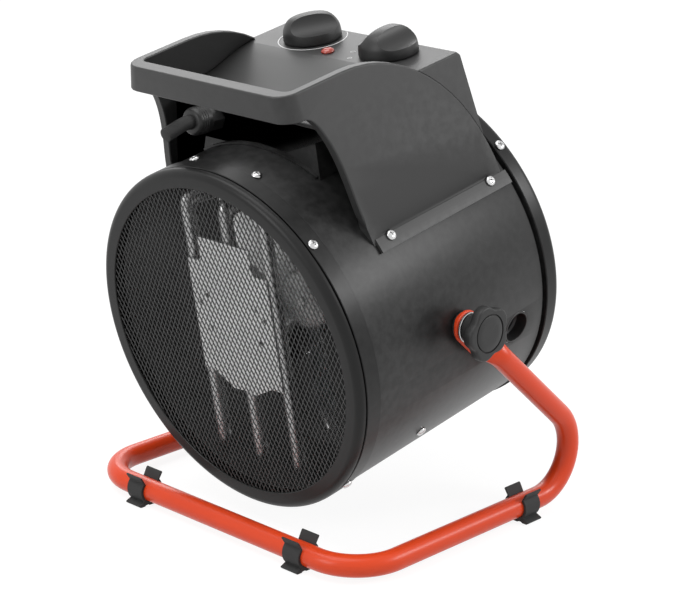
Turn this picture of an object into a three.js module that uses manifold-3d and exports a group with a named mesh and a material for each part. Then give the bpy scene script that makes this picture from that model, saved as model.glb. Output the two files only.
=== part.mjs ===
// A round forced-air heater: a sheet-steel drum with a carrying hood, tilting in a bent-tube stand.
// Millimetres, +Z up. The front of the heater faces -Y. The origin is on the floor, under the tilt axis.
// Inside the drum group, y runs back along the drum's axis from its middle and z is up from that axis.
import * as THREE from "three";
import { mergeGeometries, mergeVertices } from "three/addons/utils/BufferGeometryUtils.js";
import Module from "manifold-3d";

const wasm = await Module();
wasm.setup();

// ---- Driving dimensions -------------------------------------------------------------------------
const SEAT_GAP = 0.3; // left between two pieces that rest on each other

const DRUM_TILT = THREE.MathUtils.degToRad(10.2); // nose-down rest angle
const PIVOT_HEIGHT = 168;
const DRUM_LENGTH = 222;
const SKIN_RADIUS = 134;
const SKIN_SHEET = 1.2;
const RING_SHEET = 1;
const RING_EDGE_RADIUS = 6; // rolled outer edge of both end rings
const RING_OPENING_INSET = 12.5; // opening radius under the skin radius
const FRONT_GROOVE_AT = 6.8; // groove of the front ring, behind its face
const FRONT_GROOVE_WIDTH = 1.6;
const FRONT_GROOVE_DEPTH = 4.5;
const FRONT_BAND_END = 22;
const REAR_RING_DEPTH = 15;
const SWAGE_DEPTH = 3.8; // step down of the casing under the rear ring
const SWAGE_LENGTH = 4;

const NET_THICKNESS = 1.2;
const NET_SEAT_WIDTH = 7;
const NET_PITCH_ACROSS = 25;
const NET_PITCH_UP = 38;
const NET_STRAND = 2.2;

const GRILLE_SHEET = 1.2;
const GRILLE_ROWS = 4;
const GRILLE_SLOTS_PER_ROW = 6;
const GRILLE_HUB_RADIUS = 30;
const GRILLE_SLOT_WIDTH = 13;

const LINER_INSET = 10; // outside of the heat shield under the skin radius
const LINER_SHEET = 1;
const LINER_FRONT = 12;
const LINER_PIVOT_CLEARANCE = 13; // from the heat shield's rear end to the pivots' axis
const LINER_LENGTH = DRUM_LENGTH / 2 - LINER_FRONT - LINER_PIVOT_CLEARANCE;

const ROD_RADIUS = 4.25;
const ELEMENT_SPACING = 41;
const ELEMENT_FRONT = 18; // front legs, behind the drum's face
const ELEMENT_STAGGER = 15; // rear leg behind and beside its front leg, by the same amount
const ELEMENT_TOP_DROP = 26; // top run under the skin radius
const ELEMENT_BOTTOM_DROP = 27;
const ELEMENT_BEND = 10;
const TERMINAL_DROP = 2; // rod ends under the top of the skin
const TERMINAL_BACK = 68;
const TERMINAL_BLOCK_SETBACK = 62; // terminal block, behind the rods' front terminals
const TERMINAL_BLOCK_HALF_WIDTH = 32;
const CUTOUT_SETBACK = 34;
const TERMINAL_PIN_RADIUS = 2.2;
const TERMINAL_PIN_LENGTH = 7;
const TERMINAL_SPREAD = 14;
const PLATE_SHEET = 1.5;
const PLATE_TOP = 76;
const PLATE_SHOULDER = 56;
const PLATE_HALF_WIDTH = 42;
const PLATE_BOTTOM = 46;
const PLATE_HOLE_RADIUS = 2;

const FAN_BLADES = 5;
const FAN_BACK = 90; // blade plane, behind the drum's face
const FAN_TIP_CLEARANCE = 5;
const FAN_HUB_RADIUS = 26;
const FAN_HUB_LENGTH = 20;
const BLADE_THICKNESS = 1.6;
const BLADE_HALF_CHORD = 31;
const SHAFT_RADIUS = 4;
const MOTOR_RADIUS = 40;
const MOTOR_BACK = 112;
const SHAFT_OVERRUN = 14; // of the shaft into the motor
const MOTOR_LENGTH = 60;
const BRACKET_SHEET = 2.5;
const BRACKET_ARM_WIDTH = 22;

const TUBE_RADIUS = 8.5;
const STAND_FRONT = 117.5; // front bar ahead of the tilt axis
const STAND_CORNER = 40;
const REAR_BEND_START = 80.5; // end of a rail's straight run, behind the tilt axis
const REAR_BEND = 35.5;
const END_PLATE_THICKNESS = 4;
const END_PLATE_HALF_WIDTH = 12.5;
const END_PLATE_SHIFT = 5; // end plate nearer the drum than the tube's centre line
const END_FLARE = 26;
const END_FLAT = 8;
const CLIP_FOOT = 3; // rubber under the tube
const CLIP_WALL = 2;
const CLIP_LENGTH = 17;
const FRONT_CLIP_SPREAD = 86;
const SIDE_CLIP_BACK = 63;

const STUD_RADIUS = 4;
const SPACER_THICKNESS = 1.9;
const SPACER_RADIUS = 11;
const WASHER_THICKNESS = 1.5;
const WASHER_RADIUS = 11.5;
const KNOB_BOSS_RADIUS = 10.5;
const KNOB_BOSS_LENGTH = 11;
const STAR_RADIUS = 21;
const STAR_VALLEY = 3.2;
const STAR_THICKNESS = 8;
const STAR_LOBES = 5;
const STAR_CAP_RADIUS = 14.5;
const WELD_NUT_RADIUS = 9;
const WELD_NUT_LENGTH = 6;

const CUP_RADIUS = 13;
const CUP_BACK = DRUM_LENGTH - 49;
const CUP_DROP = 30;
const CUP_DEPTH = 12;
const CUP_WALL = 1.5;

const HOOD_RISE = 66; // top rim above the skin
const HOOD_FRONT = 15;
const HOOD_LEAN = 0.2115; // cheeks lean in by this much per millimetre of height
const CHEEK_LANDING = THREE.MathUtils.degToRad(52.2); // where a cheek meets its flange, from the top
const HOOD_FLANGE_ANGLE = THREE.MathUtils.degToRad(4.9);
const HOOD_FLANGE_START = 61;
const HOOD_FLANGE_END = DRUM_LENGTH - 20;
const HOOD_WALL = 1.6;
const HOOD_FLANGE_SHEET = 2.2;
const HOOD_CORNER = 15;
const HOOD_ARC_START = 75;
const HOOD_ARC = 130; // height of the arc
const HOOD_ARC_BACK = 123; // its reach backwards
const BAR_DEPTH = 12;
const BAR_HEIGHT = 20;
const RIM_WIDTH = 7.5;
const RIM_THICKNESS = 2.5;
const CHEEK_FRONT_TOP = 29;
const CHEEK_FRONT_LOW = 62.5;

const PANEL_DROP = 23.5; // flat of the control panel under the hood's rim
const PANEL_SHEET = 2;
const PANEL_FRONT = 62;
const PANEL_REAR = DRUM_LENGTH - 32;
const PANEL_FLAT_START = PANEL_REAR - 52;
const CONTROL_SPREAD = 39.5;
const CONTROL_BACK = PANEL_REAR - 25;
const CONTROL_RADIUS = 22.5;
const CONTROL_HEIGHT = 20;
const CONTROL_SKIRT = 8;
const CONTROL_GRIP_HALF_WIDTH = 5.5;
const CONTROL_SHAFT_RADIUS = 3;
const BUSHING_RADIUS = 5;
const SWITCH_SIZE = 34;
const SWITCH_DEPTH = 24;
const LAMP_RADIUS = 5;
const LAMP_OFFSET = -6;
const LAMP_BACK = PANEL_REAR - 43;

const BOX_TOP_HALF_WIDTH = 53.5;
const BOX_FLARE = 0.2; // widening per millimetre downwards
const BOX_FRONT = 65.2; // front wall at the height of the cable gland
const BOX_SHEET = 1.5;
const BOX_TOP_DROP = 18.5; // top edge of the wiring box under the panel's flat
const BOX_LENGTH = 78;
const GLAND_OFFSET = -43.5;
const GLAND_DROP = 51.5; // gland axis under the hood's rim
const GLAND_THREAD_RADIUS = 7.8;
const GLAND_HEX_RADIUS = 9.8;
const GLAND_HEX_LENGTH = 14;
const GLAND_NUT_RADIUS = 10.5;
const GLAND_NUT_LENGTH = 14;
const SLEEVE_RADIUS = 5.25;
const SLEEVE_REACH = 20;
const SLEEVE_DROOP = THREE.MathUtils.degToRad(17);

const SCREW_HEAD_RADIUS = 4;
const SCREW_HEAD_HEIGHT = 2.6;
const SCREW_SHANK_RADIUS = 1.9;
const SCREW_LENGTH = 6.5;
const SCREW_HOLE_RADIUS = 2.3;
const RING_SCREW_BACK = 13;
const REAR_SCREW_INSET = 9.5;
const TOP_SCREW_BACK = 26.5;
const TOP_SCREW_ANGLE = THREE.MathUtils.degToRad(14);
const HOOD_SCREW_FRONT = 75;
const HOOD_SCREW_REAR = DRUM_LENGTH - 39;
const HOOD_SCREW_ANGLE = THREE.MathUtils.degToRad(53.6);

// ---- Derived places -----------------------------------------------------------------------------
const behind = (distance) => distance - DRUM_LENGTH / 2; // y of a place given from the front face
const CASING_INSIDE = SKIN_RADIUS - SKIN_SHEET;
const BAND_INSIDE = SKIN_RADIUS + SEAT_GAP;
const BAND_OUTSIDE = BAND_INSIDE + RING_SHEET;
const OPENING_RADIUS = SKIN_RADIUS - RING_OPENING_INSET;
const LINER_OUTSIDE = SKIN_RADIUS - LINER_INSET;
const LINER_INSIDE = LINER_OUTSIDE - LINER_SHEET;
const SWAGED_RADIUS = SKIN_RADIUS - SWAGE_DEPTH;
const HOOD_TOP = SKIN_RADIUS + HOOD_RISE;
const FLANGE_INSIDE = SKIN_RADIUS + SEAT_GAP;
const FLANGE_OUTSIDE = FLANGE_INSIDE + HOOD_FLANGE_SHEET;
const CHEEK_REACH = FLANGE_OUTSIDE * (Math.sin(CHEEK_LANDING) + HOOD_LEAN * Math.cos(CHEEK_LANDING));
const RIM_HALF_WIDTH = CHEEK_REACH - HOOD_LEAN * HOOD_TOP;
const PANEL_TOP = HOOD_TOP - PANEL_DROP;
const TERMINAL_TOP = SKIN_RADIUS - TERMINAL_DROP;
const END_PLATE_INSIDE = SKIN_RADIUS + SEAT_GAP + SPACER_THICKNESS + SEAT_GAP;
const END_PLATE_CENTRE = END_PLATE_INSIDE + END_PLATE_THICKNESS / 2;
const RAIL_SPREAD = END_PLATE_CENTRE + END_PLATE_SHIFT;
const RAIL_HEIGHT = CLIP_FOOT + TUBE_RADIUS;
const WASHER_INSIDE = END_PLATE_INSIDE + END_PLATE_THICKNESS + SEAT_GAP;
const CLAMP_INSIDE = WASHER_INSIDE + WASHER_THICKNESS + SEAT_GAP;
const DRUM_FACETS = 40; // facets round the drum, its rings and what fits against them

// ---- Materials ----------------------------------------------------------------------------------
const finish = (color, roughness, metalness) =>
  new THREE.MeshStandardMaterial({ color, roughness, metalness });
const finishes = {
  casing: finish(0x4b4c4e, 0.45, 0.3),
  ring: finish(0x3c3c3e, 0.4, 0.3),
  hood: finish(0x47484a, 0.5, 0.1),
  blackPlastic: finish(0x2b2b2c, 0.55, 0),
  rubber: finish(0x2e2f30, 0.8, 0),
  standPaint: finish(0xe05438, 0.35, 0.1),
  zinc: finish(0xc4c6c8, 0.3, 0.9),
  aluminium: finish(0xb9bcc0, 0.35, 0.95),
  darkSteel: finish(0x2a2a2b, 0.5, 0.6),
  heaterSteel: finish(0xa9abad, 0.4, 0.9),
  lampRed: finish(0xd0301c, 0.2, 0),
};

// ---- Geometry helpers ---------------------------------------------------------------------------
const X = new THREE.Vector3(1, 0, 0);
const Y = new THREE.Vector3(0, 1, 0);
const Z = new THREE.Vector3(0, 0, 1);

function solid(geometry) {
  const bare = geometry.clone();
  bare.deleteAttribute("normal");
  bare.deleteAttribute("uv");
  const merged = mergeVertices(bare, 1e-4);
  const triVerts = new Uint32Array(merged.index.array);
  const vertProperties = merged.attributes.position.array;
  return new wasm.Manifold(new wasm.Mesh({ numProp: 3, vertProperties, triVerts }));
}

function geometryOf(manifold) {
  const mesh = manifold.getMesh();
  const geometry = new THREE.BufferGeometry();
  geometry.setAttribute("position", new THREE.BufferAttribute(mesh.vertProperties, 3));
  geometry.setIndex(new THREE.BufferAttribute(mesh.triVerts, 1));
  geometry.computeVertexNormals();
  return geometry;
}

function cut(body, ...tools) {
  return tools.reduce((left, tool) => left.subtract(solid(tool)), body);
}

function join(...geometries) {
  return geometries.map(solid).reduce((all, next) => all.add(next));
}

function piece(name, shape, material) {
  const geometry = shape.isBufferGeometry ? shape : geometryOf(shape);
  const mesh = new THREE.Mesh(geometry, material);
  mesh.name = name;
  return mesh;
}

// Points on an arc in a plane, both ends included.
function arc(centreU, centreV, radius, fromAngle, toAngle, steps) {
  return Array.from({ length: steps + 1 }, (_, i) => {
    const angle = fromAngle + ((toAngle - fromAngle) * i) / steps;
    return [centreU + radius * Math.cos(angle), centreV + radius * Math.sin(angle)];
  });
}

const outline = (points) => new THREE.Shape(points.map(([u, v]) => new THREE.Vector2(u, v)));

// A closed or axis-to-axis profile of [radius, y] points, revolved about the y axis.
function revolved(profile, facets) {
  const area = profile.reduce((sum, [u, v], i) => {
    const [nextU, nextV] = profile[(i + 1) % profile.length];
    return sum + u * nextV - nextU * v;
  }, 0);
  const onAxis = profile[0][0] === 0;
  const closed = onAxis ? profile : [...profile, profile[0]];
  const ordered = area > 0 ? closed : [...closed].reverse();
  return new THREE.LatheGeometry(
    ordered.map(([u, v]) => new THREE.Vector2(u, v)),
    facets,
  );
}

// A flat outline made solid between two places on x ("side"), y ("front") or z ("plan").
function slab(shape, facing, from, to, curveSegments = 8) {
  const depth = to - from;
  const geometry = new THREE.ExtrudeGeometry(shape, { depth, bevelEnabled: false, curveSegments });
  if (facing === "side") {
    return geometry.applyMatrix4(new THREE.Matrix4().makeBasis(Y, Z, X)).translate(from, 0, 0);
  }
  if (facing === "front") {
    const back = Y.clone().negate();
    return geometry.applyMatrix4(new THREE.Matrix4().makeBasis(X, Z, back)).translate(0, to, 0);
  }
  return geometry.translate(0, 0, from);
}

// A cylinder about an axis given by a unit vector, between two distances along it from a point.
function cylinder(radius, axis, point, from, to, sides = 24) {
  return new THREE.CylinderGeometry(radius, radius, to - from, sides)
    .translate(0, (from + to) / 2, 0)
    .applyQuaternion(new THREE.Quaternion().setFromUnitVectors(Y, axis))
    .translate(point.x, point.y, point.z);
}

function box(sizeX, sizeY, sizeZ, x, y, z) {
  return new THREE.BoxGeometry(sizeX, sizeY, sizeZ).translate(x, y, z);
}

// A solid skinned over closed loops of points, its two ends closed by strips across the loop.
function loft(loops) {
  const count = loops[0].length;
  const index = [];
  for (let row = 0; row + 1 < loops.length; row += 1) {
    for (let i = 0; i < count; i += 1) {
      const a = row * count + i;
      const b = row * count + ((i + 1) % count);
      index.push(a, b, b + count, a, b + count, a + count);
    }
  }
  const last = (loops.length - 1) * count;
  for (let low = 0, high = count - 1; low + 1 < high; low += 1) {
    index.push(low, high, low + 1, last + low, last + low + 1, last + high);
    if (low + 2 < high) {
      index.push(low + 1, high, high - 1, last + low + 1, last + high - 1, last + high);
    }
    high -= 1;
  }
  const points = loops.flat();
  const geometry = new THREE.BufferGeometry().setFromPoints(points);
  geometry.setIndex(enclosedVolume(points, index) > 0 ? index : index.reverse());
  geometry.computeVertexNormals();
  return geometry;
}

// Six times the volume inside a closed skin of triangles; below zero where its faces point inwards.
function enclosedVolume(points, index) {
  let sum = 0;
  for (let i = 0; i < index.length; i += 3) {
    const [a, b, c] = [points[index[i]], points[index[i + 1]], points[index[i + 2]]];
    sum += a.dot(new THREE.Vector3().crossVectors(b, c));
  }
  return sum;
}

// A path through corner points, each corner rounded to the bend radius. Its stations lie at the ends
// of the straight runs and at even steps round the bends, and carry the exact tangent.
class BentPath extends THREE.Curve {
  constructor(corners, bend, stepsPerBend) {
    super();
    const bends = Array.isArray(bend) ? bend : corners.map(() => bend);
    this.stations = [{ point: corners[0], tangent: corners[1].clone().sub(corners[0]).normalize() }];
    for (let i = 1; i + 1 < corners.length; i += 1) {
      const inward = corners[i].clone().sub(corners[i - 1]).normalize();
      const outward = corners[i + 1].clone().sub(corners[i]).normalize();
      const turn = inward.angleTo(outward);
      const start = corners[i].clone().addScaledVector(inward, -bends[i] * Math.tan(turn / 2));
      const side = outward.clone().addScaledVector(inward, -inward.dot(outward)).normalize();
      const touching = this.stations.at(-1).point.distanceTo(start) < 1e-6;
      for (let step = touching ? 1 : 0; step <= stepsPerBend; step += 1) {
        const angle = (turn * step) / stepsPerBend;
        const point = start
          .clone()
          .addScaledVector(inward, bends[i] * Math.sin(angle))
          .addScaledVector(side, bends[i] * (1 - Math.cos(angle)));
        const tangent = inward
          .clone()
          .multiplyScalar(Math.cos(angle))
          .addScaledVector(side, Math.sin(angle));
        this.stations.push({ point, tangent });
      }
    }
    const end = corners.at(-1);
    this.stations.push({ point: end, tangent: end.clone().sub(corners.at(-2)).normalize() });
  }

  between(t, key) {
    const place = t * (this.stations.length - 1);
    const low = Math.min(Math.floor(place), this.stations.length - 2);
    return this.stations[low][key].clone().lerp(this.stations[low + 1][key], place - low);
  }

  getPoint(t) {
    return this.between(t, "point");
  }

  getTangent(t) {
    return this.between(t, "tangent").normalize();
  }

  getUtoTmapping(u) {
    return u;
  }
}

function roundBar(path, radius, sides) {
  const section = outline(arc(0, 0, radius, 0, 2 * Math.PI, sides).slice(0, -1));
  return new THREE.ExtrudeGeometry(section, {
    steps: path.stations.length - 1,
    bevelEnabled: false,
    extrudePath: path,
  });
}

const radial = (angle) => new THREE.Vector3(Math.sin(angle), 0, Math.cos(angle));

function radialHole(radius, angle, back, from, to, sides = 8) {
  return cylinder(radius, radial(angle), new THREE.Vector3(0, behind(back), 0), from, to, sides);
}

// ---- Drum ---------------------------------------------------------------------------------------
const quarterTurns = [45, 135, 225, 315].map(THREE.MathUtils.degToRad);
const elementPlaces = [-ELEMENT_SPACING, 0, ELEMENT_SPACING];
const terminalPlaces = elementPlaces.flatMap((x) => {
  const inner = x < 0 ? x + TERMINAL_SPREAD : x - TERMINAL_SPREAD;
  return [
    { x: inner, back: TERMINAL_BACK },
    { x, back: TERMINAL_BACK + 1 },
  ];
});
const cupAngle = Math.atan2(Math.sqrt(SKIN_RADIUS ** 2 - CUP_DROP ** 2), -CUP_DROP);
const cupPlaces = [cupAngle, -cupAngle];

function rodHoles(from, to) {
  return terminalPlaces.map(({ x, back }) =>
    cylinder(ROD_RADIUS + 0.8, Z, new THREE.Vector3(x, behind(back), 0), from, to, 10),
  );
}

function drumCasing() {
  const start = behind(FRONT_GROOVE_AT + FRONT_GROOVE_WIDTH + RING_SHEET + SEAT_GAP);
  const swage = behind(DRUM_LENGTH - REAR_RING_DEPTH - SWAGE_LENGTH);
  const end = behind(DRUM_LENGTH - RING_EDGE_RADIUS);
  const shell = revolved(
    [
      [SKIN_RADIUS, start],
      [SKIN_RADIUS, swage],
      [SWAGED_RADIUS, swage + 1.5],
      [SWAGED_RADIUS, end],
      [SWAGED_RADIUS - SKIN_SHEET, end],
      [SWAGED_RADIUS - SKIN_SHEET, swage + 1.1],
      [CASING_INSIDE, swage - 0.4],
      [CASING_INSIDE, start],
    ],
    DRUM_FACETS,
  );
  const centre = new THREE.Vector3();
  const nuts = [1, -1].map((side) =>
    cylinder(
      WELD_NUT_RADIUS,
      X,
      centre,
      side > 0 ? CASING_INSIDE - WELD_NUT_LENGTH : -CASING_INSIDE - 0.5,
      side > 0 ? CASING_INSIDE + 0.5 : -CASING_INSIDE + WELD_NUT_LENGTH,
      6,
    ),
  );
  const outward = SKIN_RADIUS + 5;
  const holes = [
    cylinder(STUD_RADIUS + SEAT_GAP, X, centre, -outward, outward, 12),
    ...rodHoles(SKIN_RADIUS / 2, outward),
    ...cupPlaces.map((angle) =>
      radialHole(CUP_RADIUS + SEAT_GAP, angle, CUP_BACK, SKIN_RADIUS / 2, outward, 24),
    ),
    ...quarterTurns.map((angle) =>
      radialHole(SCREW_HOLE_RADIUS, angle, RING_SCREW_BACK, SKIN_RADIUS / 2, outward),
    ),
    ...quarterTurns.map((angle) =>
      radialHole(SCREW_HOLE_RADIUS, angle, DRUM_LENGTH - REAR_SCREW_INSET, SKIN_RADIUS / 2, outward),
    ),
    ...[1, -1].map((side) =>
      radialHole(SCREW_HOLE_RADIUS, side * TOP_SCREW_ANGLE, TOP_SCREW_BACK, SKIN_RADIUS / 2, outward),
    ),
    ...hoodScrewPlaces.map(({ angle, back }) =>
      radialHole(SCREW_HOLE_RADIUS, angle, back, SKIN_RADIUS / 2, outward),
    ),
  ];
  return piece("drum_casing", cut(join(shell, ...nuts), ...holes), finishes.casing);
}

function frontRing() {
  const edge = BAND_OUTSIDE - RING_EDGE_RADIUS;
  const grooveEnd = FRONT_GROOVE_AT + FRONT_GROOVE_WIDTH;
  const bottom = BAND_OUTSIDE - FRONT_GROOVE_DEPTH;
  const outer = arc(edge, RING_EDGE_RADIUS, RING_EDGE_RADIUS, -Math.PI / 2, 0, 3);
  const inner = arc(edge, RING_EDGE_RADIUS, RING_EDGE_RADIUS - RING_SHEET, 0, -Math.PI / 2, 2);
  const profile = [
    [OPENING_RADIUS, 0],
    ...outer,
    [BAND_OUTSIDE, FRONT_GROOVE_AT],
    [bottom, FRONT_GROOVE_AT + 0.3],
    [bottom, grooveEnd - 0.3],
    [BAND_OUTSIDE, grooveEnd],
    [BAND_OUTSIDE, FRONT_BAND_END],
    [BAND_INSIDE, FRONT_BAND_END],
    [BAND_INSIDE, grooveEnd + RING_SHEET],
    [bottom - RING_SHEET, grooveEnd + RING_SHEET - 0.3],
    [bottom - RING_SHEET, FRONT_GROOVE_AT - RING_SHEET + 0.3],
    [BAND_INSIDE, FRONT_GROOVE_AT - RING_SHEET],
    ...inner.slice(1),
    [OPENING_RADIUS, RING_SHEET],
  ];
  const ring = revolved(
    profile.map(([radius, back]) => [radius, behind(back)]),
    DRUM_FACETS,
  );
  const holes = quarterTurns.map((angle) =>
    radialHole(SCREW_HOLE_RADIUS, angle, RING_SCREW_BACK, SKIN_RADIUS, BAND_OUTSIDE + 1),
  );
  return piece("front_ring", cut(solid(ring), ...holes), finishes.ring);
}

// Expanded-metal net: rows of diamonds, every second row set over by half a pitch.
function frontMesh() {
  const back = behind(RING_SHEET + SEAT_GAP);
  const rim = OPENING_RADIUS + NET_SEAT_WIDTH;
  const sheet = solid(cylinder(rim, Y, new THREE.Vector3(0, back, 0), 0, NET_THICKNESS, DRUM_FACETS));
  const centre = new THREE.Vector3(0, back, 0);
  const field = solid(cylinder(OPENING_RADIUS - 1, Y, centre, -1, NET_THICKNESS + 1, DRUM_FACETS));
  const halfWidth = NET_PITCH_ACROSS / 2 - NET_STRAND / 2;
  const halfHeight = NET_PITCH_UP / 2 - NET_STRAND;
  const diamonds = [];
  const rows = Math.ceil(OPENING_RADIUS / (NET_PITCH_UP / 2));
  const columns = Math.ceil(OPENING_RADIUS / NET_PITCH_ACROSS);
  for (let row = -rows; row <= rows; row += 1) {
    const shift = row % 2 === 0 ? 0 : NET_PITCH_ACROSS / 2;
    for (let column = -columns; column <= columns; column += 1) {
      const x = column * NET_PITCH_ACROSS + shift;
      const z = (row * NET_PITCH_UP) / 2;
      if (Math.hypot(x, z) < OPENING_RADIUS - NET_STRAND) {
        const diamond = outline([
          [x - halfWidth, z],
          [x, z - halfHeight],
          [x + halfWidth, z],
          [x, z + halfHeight],
        ]);
        diamonds.push(slab(diamond, "front", back - 1, back + NET_THICKNESS + 1));
      }
    }
  }
  const openings = solid(mergeGeometries(diamonds)).intersect(field);
  return piece("front_mesh", sheet.subtract(openings), finishes.darkSteel);
}

function rearRing() {
  const front = DRUM_LENGTH - REAR_RING_DEPTH;
  const corner = DRUM_LENGTH - RING_EDGE_RADIUS;
  const edge = BAND_OUTSIDE - RING_EDGE_RADIUS;
  const seat = SWAGED_RADIUS + SEAT_GAP;
  const profile = [
    [seat, front],
    [BAND_OUTSIDE, front],
    ...arc(edge, corner, RING_EDGE_RADIUS, 0, Math.PI / 2, 3),
    [OPENING_RADIUS, DRUM_LENGTH],
    [OPENING_RADIUS, DRUM_LENGTH - RING_SHEET],
    ...arc(edge, corner, RING_EDGE_RADIUS - RING_SHEET, Math.PI / 2, 0, 2),
    [BAND_INSIDE, front + RING_SHEET],
    [seat, front + RING_SHEET],
  ];
  const ring = revolved(
    profile.map(([radius, back]) => [radius, behind(back)]),
    DRUM_FACETS,
  );
  const holes = quarterTurns.map((angle) =>
    radialHole(SCREW_HOLE_RADIUS, angle, DRUM_LENGTH - REAR_SCREW_INSET, SKIN_RADIUS, BAND_OUTSIDE + 1),
  );
  return piece("rear_ring", cut(solid(ring), ...holes), finishes.ring);
}

// Stamped intake guard: rings of curved slots round a closed centre.
function rearGrille() {
  const radius = SWAGED_RADIUS - SKIN_SHEET;
  const disc = outline(arc(0, 0, radius, 0, 2 * Math.PI, DRUM_FACETS).slice(0, -1));
  const rowPitch = (OPENING_RADIUS - GRILLE_HUB_RADIUS) / GRILLE_ROWS;
  for (let row = 0; row < GRILLE_ROWS; row += 1) {
    const middle = GRILLE_HUB_RADIUS + (row + 0.5) * rowPitch;
    const inside = middle - GRILLE_SLOT_WIDTH / 2;
    const outside = middle + GRILLE_SLOT_WIDTH / 2;
    for (let slot = 0; slot < GRILLE_SLOTS_PER_ROW; slot += 1) {
      const turn = (2 * Math.PI) / GRILLE_SLOTS_PER_ROW;
      const bridge = 5 / middle;
      const from = slot * turn + bridge + (row % 2) * (turn / 2);
      const to = from + turn - 2 * bridge;
      const points = [...arc(0, 0, outside, from, to, 4), ...arc(0, 0, inside, to, from, 4)];
      disc.holes.push(new THREE.Path(points.map(([u, v]) => new THREE.Vector2(u, v))));
    }
  }
  const back = behind(DRUM_LENGTH - RING_SHEET - SEAT_GAP);
  return piece("rear_grille", slab(disc, "front", back - GRILLE_SHEET, back), finishes.darkSteel);
}

function heatShield() {
  const start = behind(LINER_FRONT);
  const end = start + LINER_LENGTH;
  const flange = CASING_INSIDE - SEAT_GAP;
  const shell = revolved(
    [
      [LINER_INSIDE, start],
      [LINER_OUTSIDE, start],
      [LINER_OUTSIDE, end - LINER_SHEET],
      [flange, end - LINER_SHEET],
      [flange, end],
      [LINER_INSIDE, end],
    ],
    DRUM_FACETS,
  );
  const pierced = cut(solid(shell), ...rodHoles(SKIN_RADIUS / 2, SKIN_RADIUS));
  return piece("heat_shield", pierced, finishes.darkSteel);
}

function sideCup(name, angle) {
  const axis = radial(angle);
  const centre = new THREE.Vector3(0, behind(CUP_BACK), 0);
  const bottom = SKIN_RADIUS - CUP_DEPTH;
  const body = solid(cylinder(CUP_RADIUS, axis, centre, bottom, SKIN_RADIUS + 2, 24));
  const hollow = cylinder(CUP_RADIUS - CUP_WALL, axis, centre, bottom + CUP_WALL, SKIN_RADIUS + 4, 24);
  const skin = solid(cylinder(SKIN_RADIUS, Y, centre, -2 * CUP_RADIUS, 2 * CUP_RADIUS, DRUM_FACETS));
  return piece(name, cut(body, hollow).intersect(skin), finishes.blackPlastic);
}

// ---- Heating elements ---------------------------------------------------------------------------
function heatingElement(name, x, terminal, terminalEnd) {
  const front = behind(ELEMENT_FRONT);
  const rear = front + ELEMENT_STAGGER;
  const rearX = x - ELEMENT_STAGGER;
  const top = SKIN_RADIUS - ELEMENT_TOP_DROP;
  const bottom = ELEMENT_BOTTOM_DROP - SKIN_RADIUS;
  const rearTop = top - 4 * ROD_RADIUS;
  const corners = [
    [terminal.x, behind(terminal.back), TERMINAL_TOP],
    [terminal.x, behind(terminal.back), top - 2.5 * ROD_RADIUS],
    [x, front, top],
    [x, front, bottom],
    [rearX, rear, bottom],
    [rearX, rear, rearTop],
    [x, behind(terminalEnd.back), rearTop],
    [x, behind(terminalEnd.back), TERMINAL_TOP],
  ].map((place) => new THREE.Vector3(...place));
  const hairpin = ELEMENT_STAGGER * Math.SQRT1_2 - 0.1;
  const bends = [0, ELEMENT_BEND, ELEMENT_BEND, hairpin, hairpin, ELEMENT_BEND, ELEMENT_BEND, 0];
  const rod = roundBar(new BentPath(corners, bends, 3), ROD_RADIUS, 8);
  const pins = [corners[0], corners.at(-1)].map((end) =>
    cylinder(TERMINAL_PIN_RADIUS, Z, end, -1, TERMINAL_PIN_LENGTH, 8),
  );
  return piece(name, join(rod, ...pins), finishes.heaterSteel);
}

// The plate that steadies the three rods from the front, narrower at its top and its foot.
function elementPlate() {
  const shoulder = PLATE_HALF_WIDTH - 15;
  const right = [
    [0, -PLATE_BOTTOM + 1],
    [12, -PLATE_BOTTOM],
    [30, -PLATE_BOTTOM + 10],
    [PLATE_HALF_WIDTH, -PLATE_BOTTOM + 10],
    [PLATE_HALF_WIDTH, PLATE_SHOULDER],
    [shoulder + 2, PLATE_SHOULDER],
    [shoulder, PLATE_SHOULDER + 3],
    [shoulder, PLATE_TOP],
  ];
  const left = right.slice(1).map(([u, v]) => [-u, v]).reverse();
  const shape = outline([...right, ...left]);
  const holes = [-1, 1].flatMap((side) => [
    [side * 26, PLATE_SHOULDER - 28],
    [side * 34, PLATE_SHOULDER - 35],
    [side * 26.5, 1.4],
  ]);
  holes.forEach(([u, v]) => {
    const ring = arc(u, v, PLATE_HOLE_RADIUS, 0, 2 * Math.PI, 8).slice(0, -1);
    shape.holes.push(new THREE.Path(ring.map(([a, b]) => new THREE.Vector2(a, b))));
  });
  const front = behind(ELEMENT_FRONT) - ROD_RADIUS - SEAT_GAP - PLATE_SHEET;
  return piece("element_plate", slab(shape, "front", front, front + PLATE_SHEET), finishes.aluminium);
}

// ---- Fan and motor ------------------------------------------------------------------------------
// One blade, lying along +z from the hub: a rounded lobe, pitched and slightly cupped.
function bladeLoop(share, tipRadius) {
  const root = FAN_HUB_RADIUS - 5;
  const radius = root + (tipRadius - root) * share;
  const swell = Math.sin(Math.PI * (0.16 + 0.66 * share)) ** 0.8;
  const tipRounding = Math.sqrt(Math.max(0.05, 1 - Math.max(0, (share - 0.72) / 0.285) ** 2));
  const halfChord = BLADE_HALF_CHORD * swell * tipRounding;
  const pitch = THREE.MathUtils.degToRad(33 - 11 * share);
  const across = [-1, -0.4, 0.4, 1];
  const face = across.map((v) => {
    const cup = 3.5 * share * (1 - v * v);
    return [v * halfChord * Math.cos(pitch), v * halfChord * Math.sin(pitch) + cup];
  });
  const front = face.map(([u, y]) => new THREE.Vector3(u, y - BLADE_THICKNESS / 2, radius));
  const back = face.map(([u, y]) => new THREE.Vector3(u, y + BLADE_THICKNESS / 2, radius)).reverse();
  return [...front, ...back];
}

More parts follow.
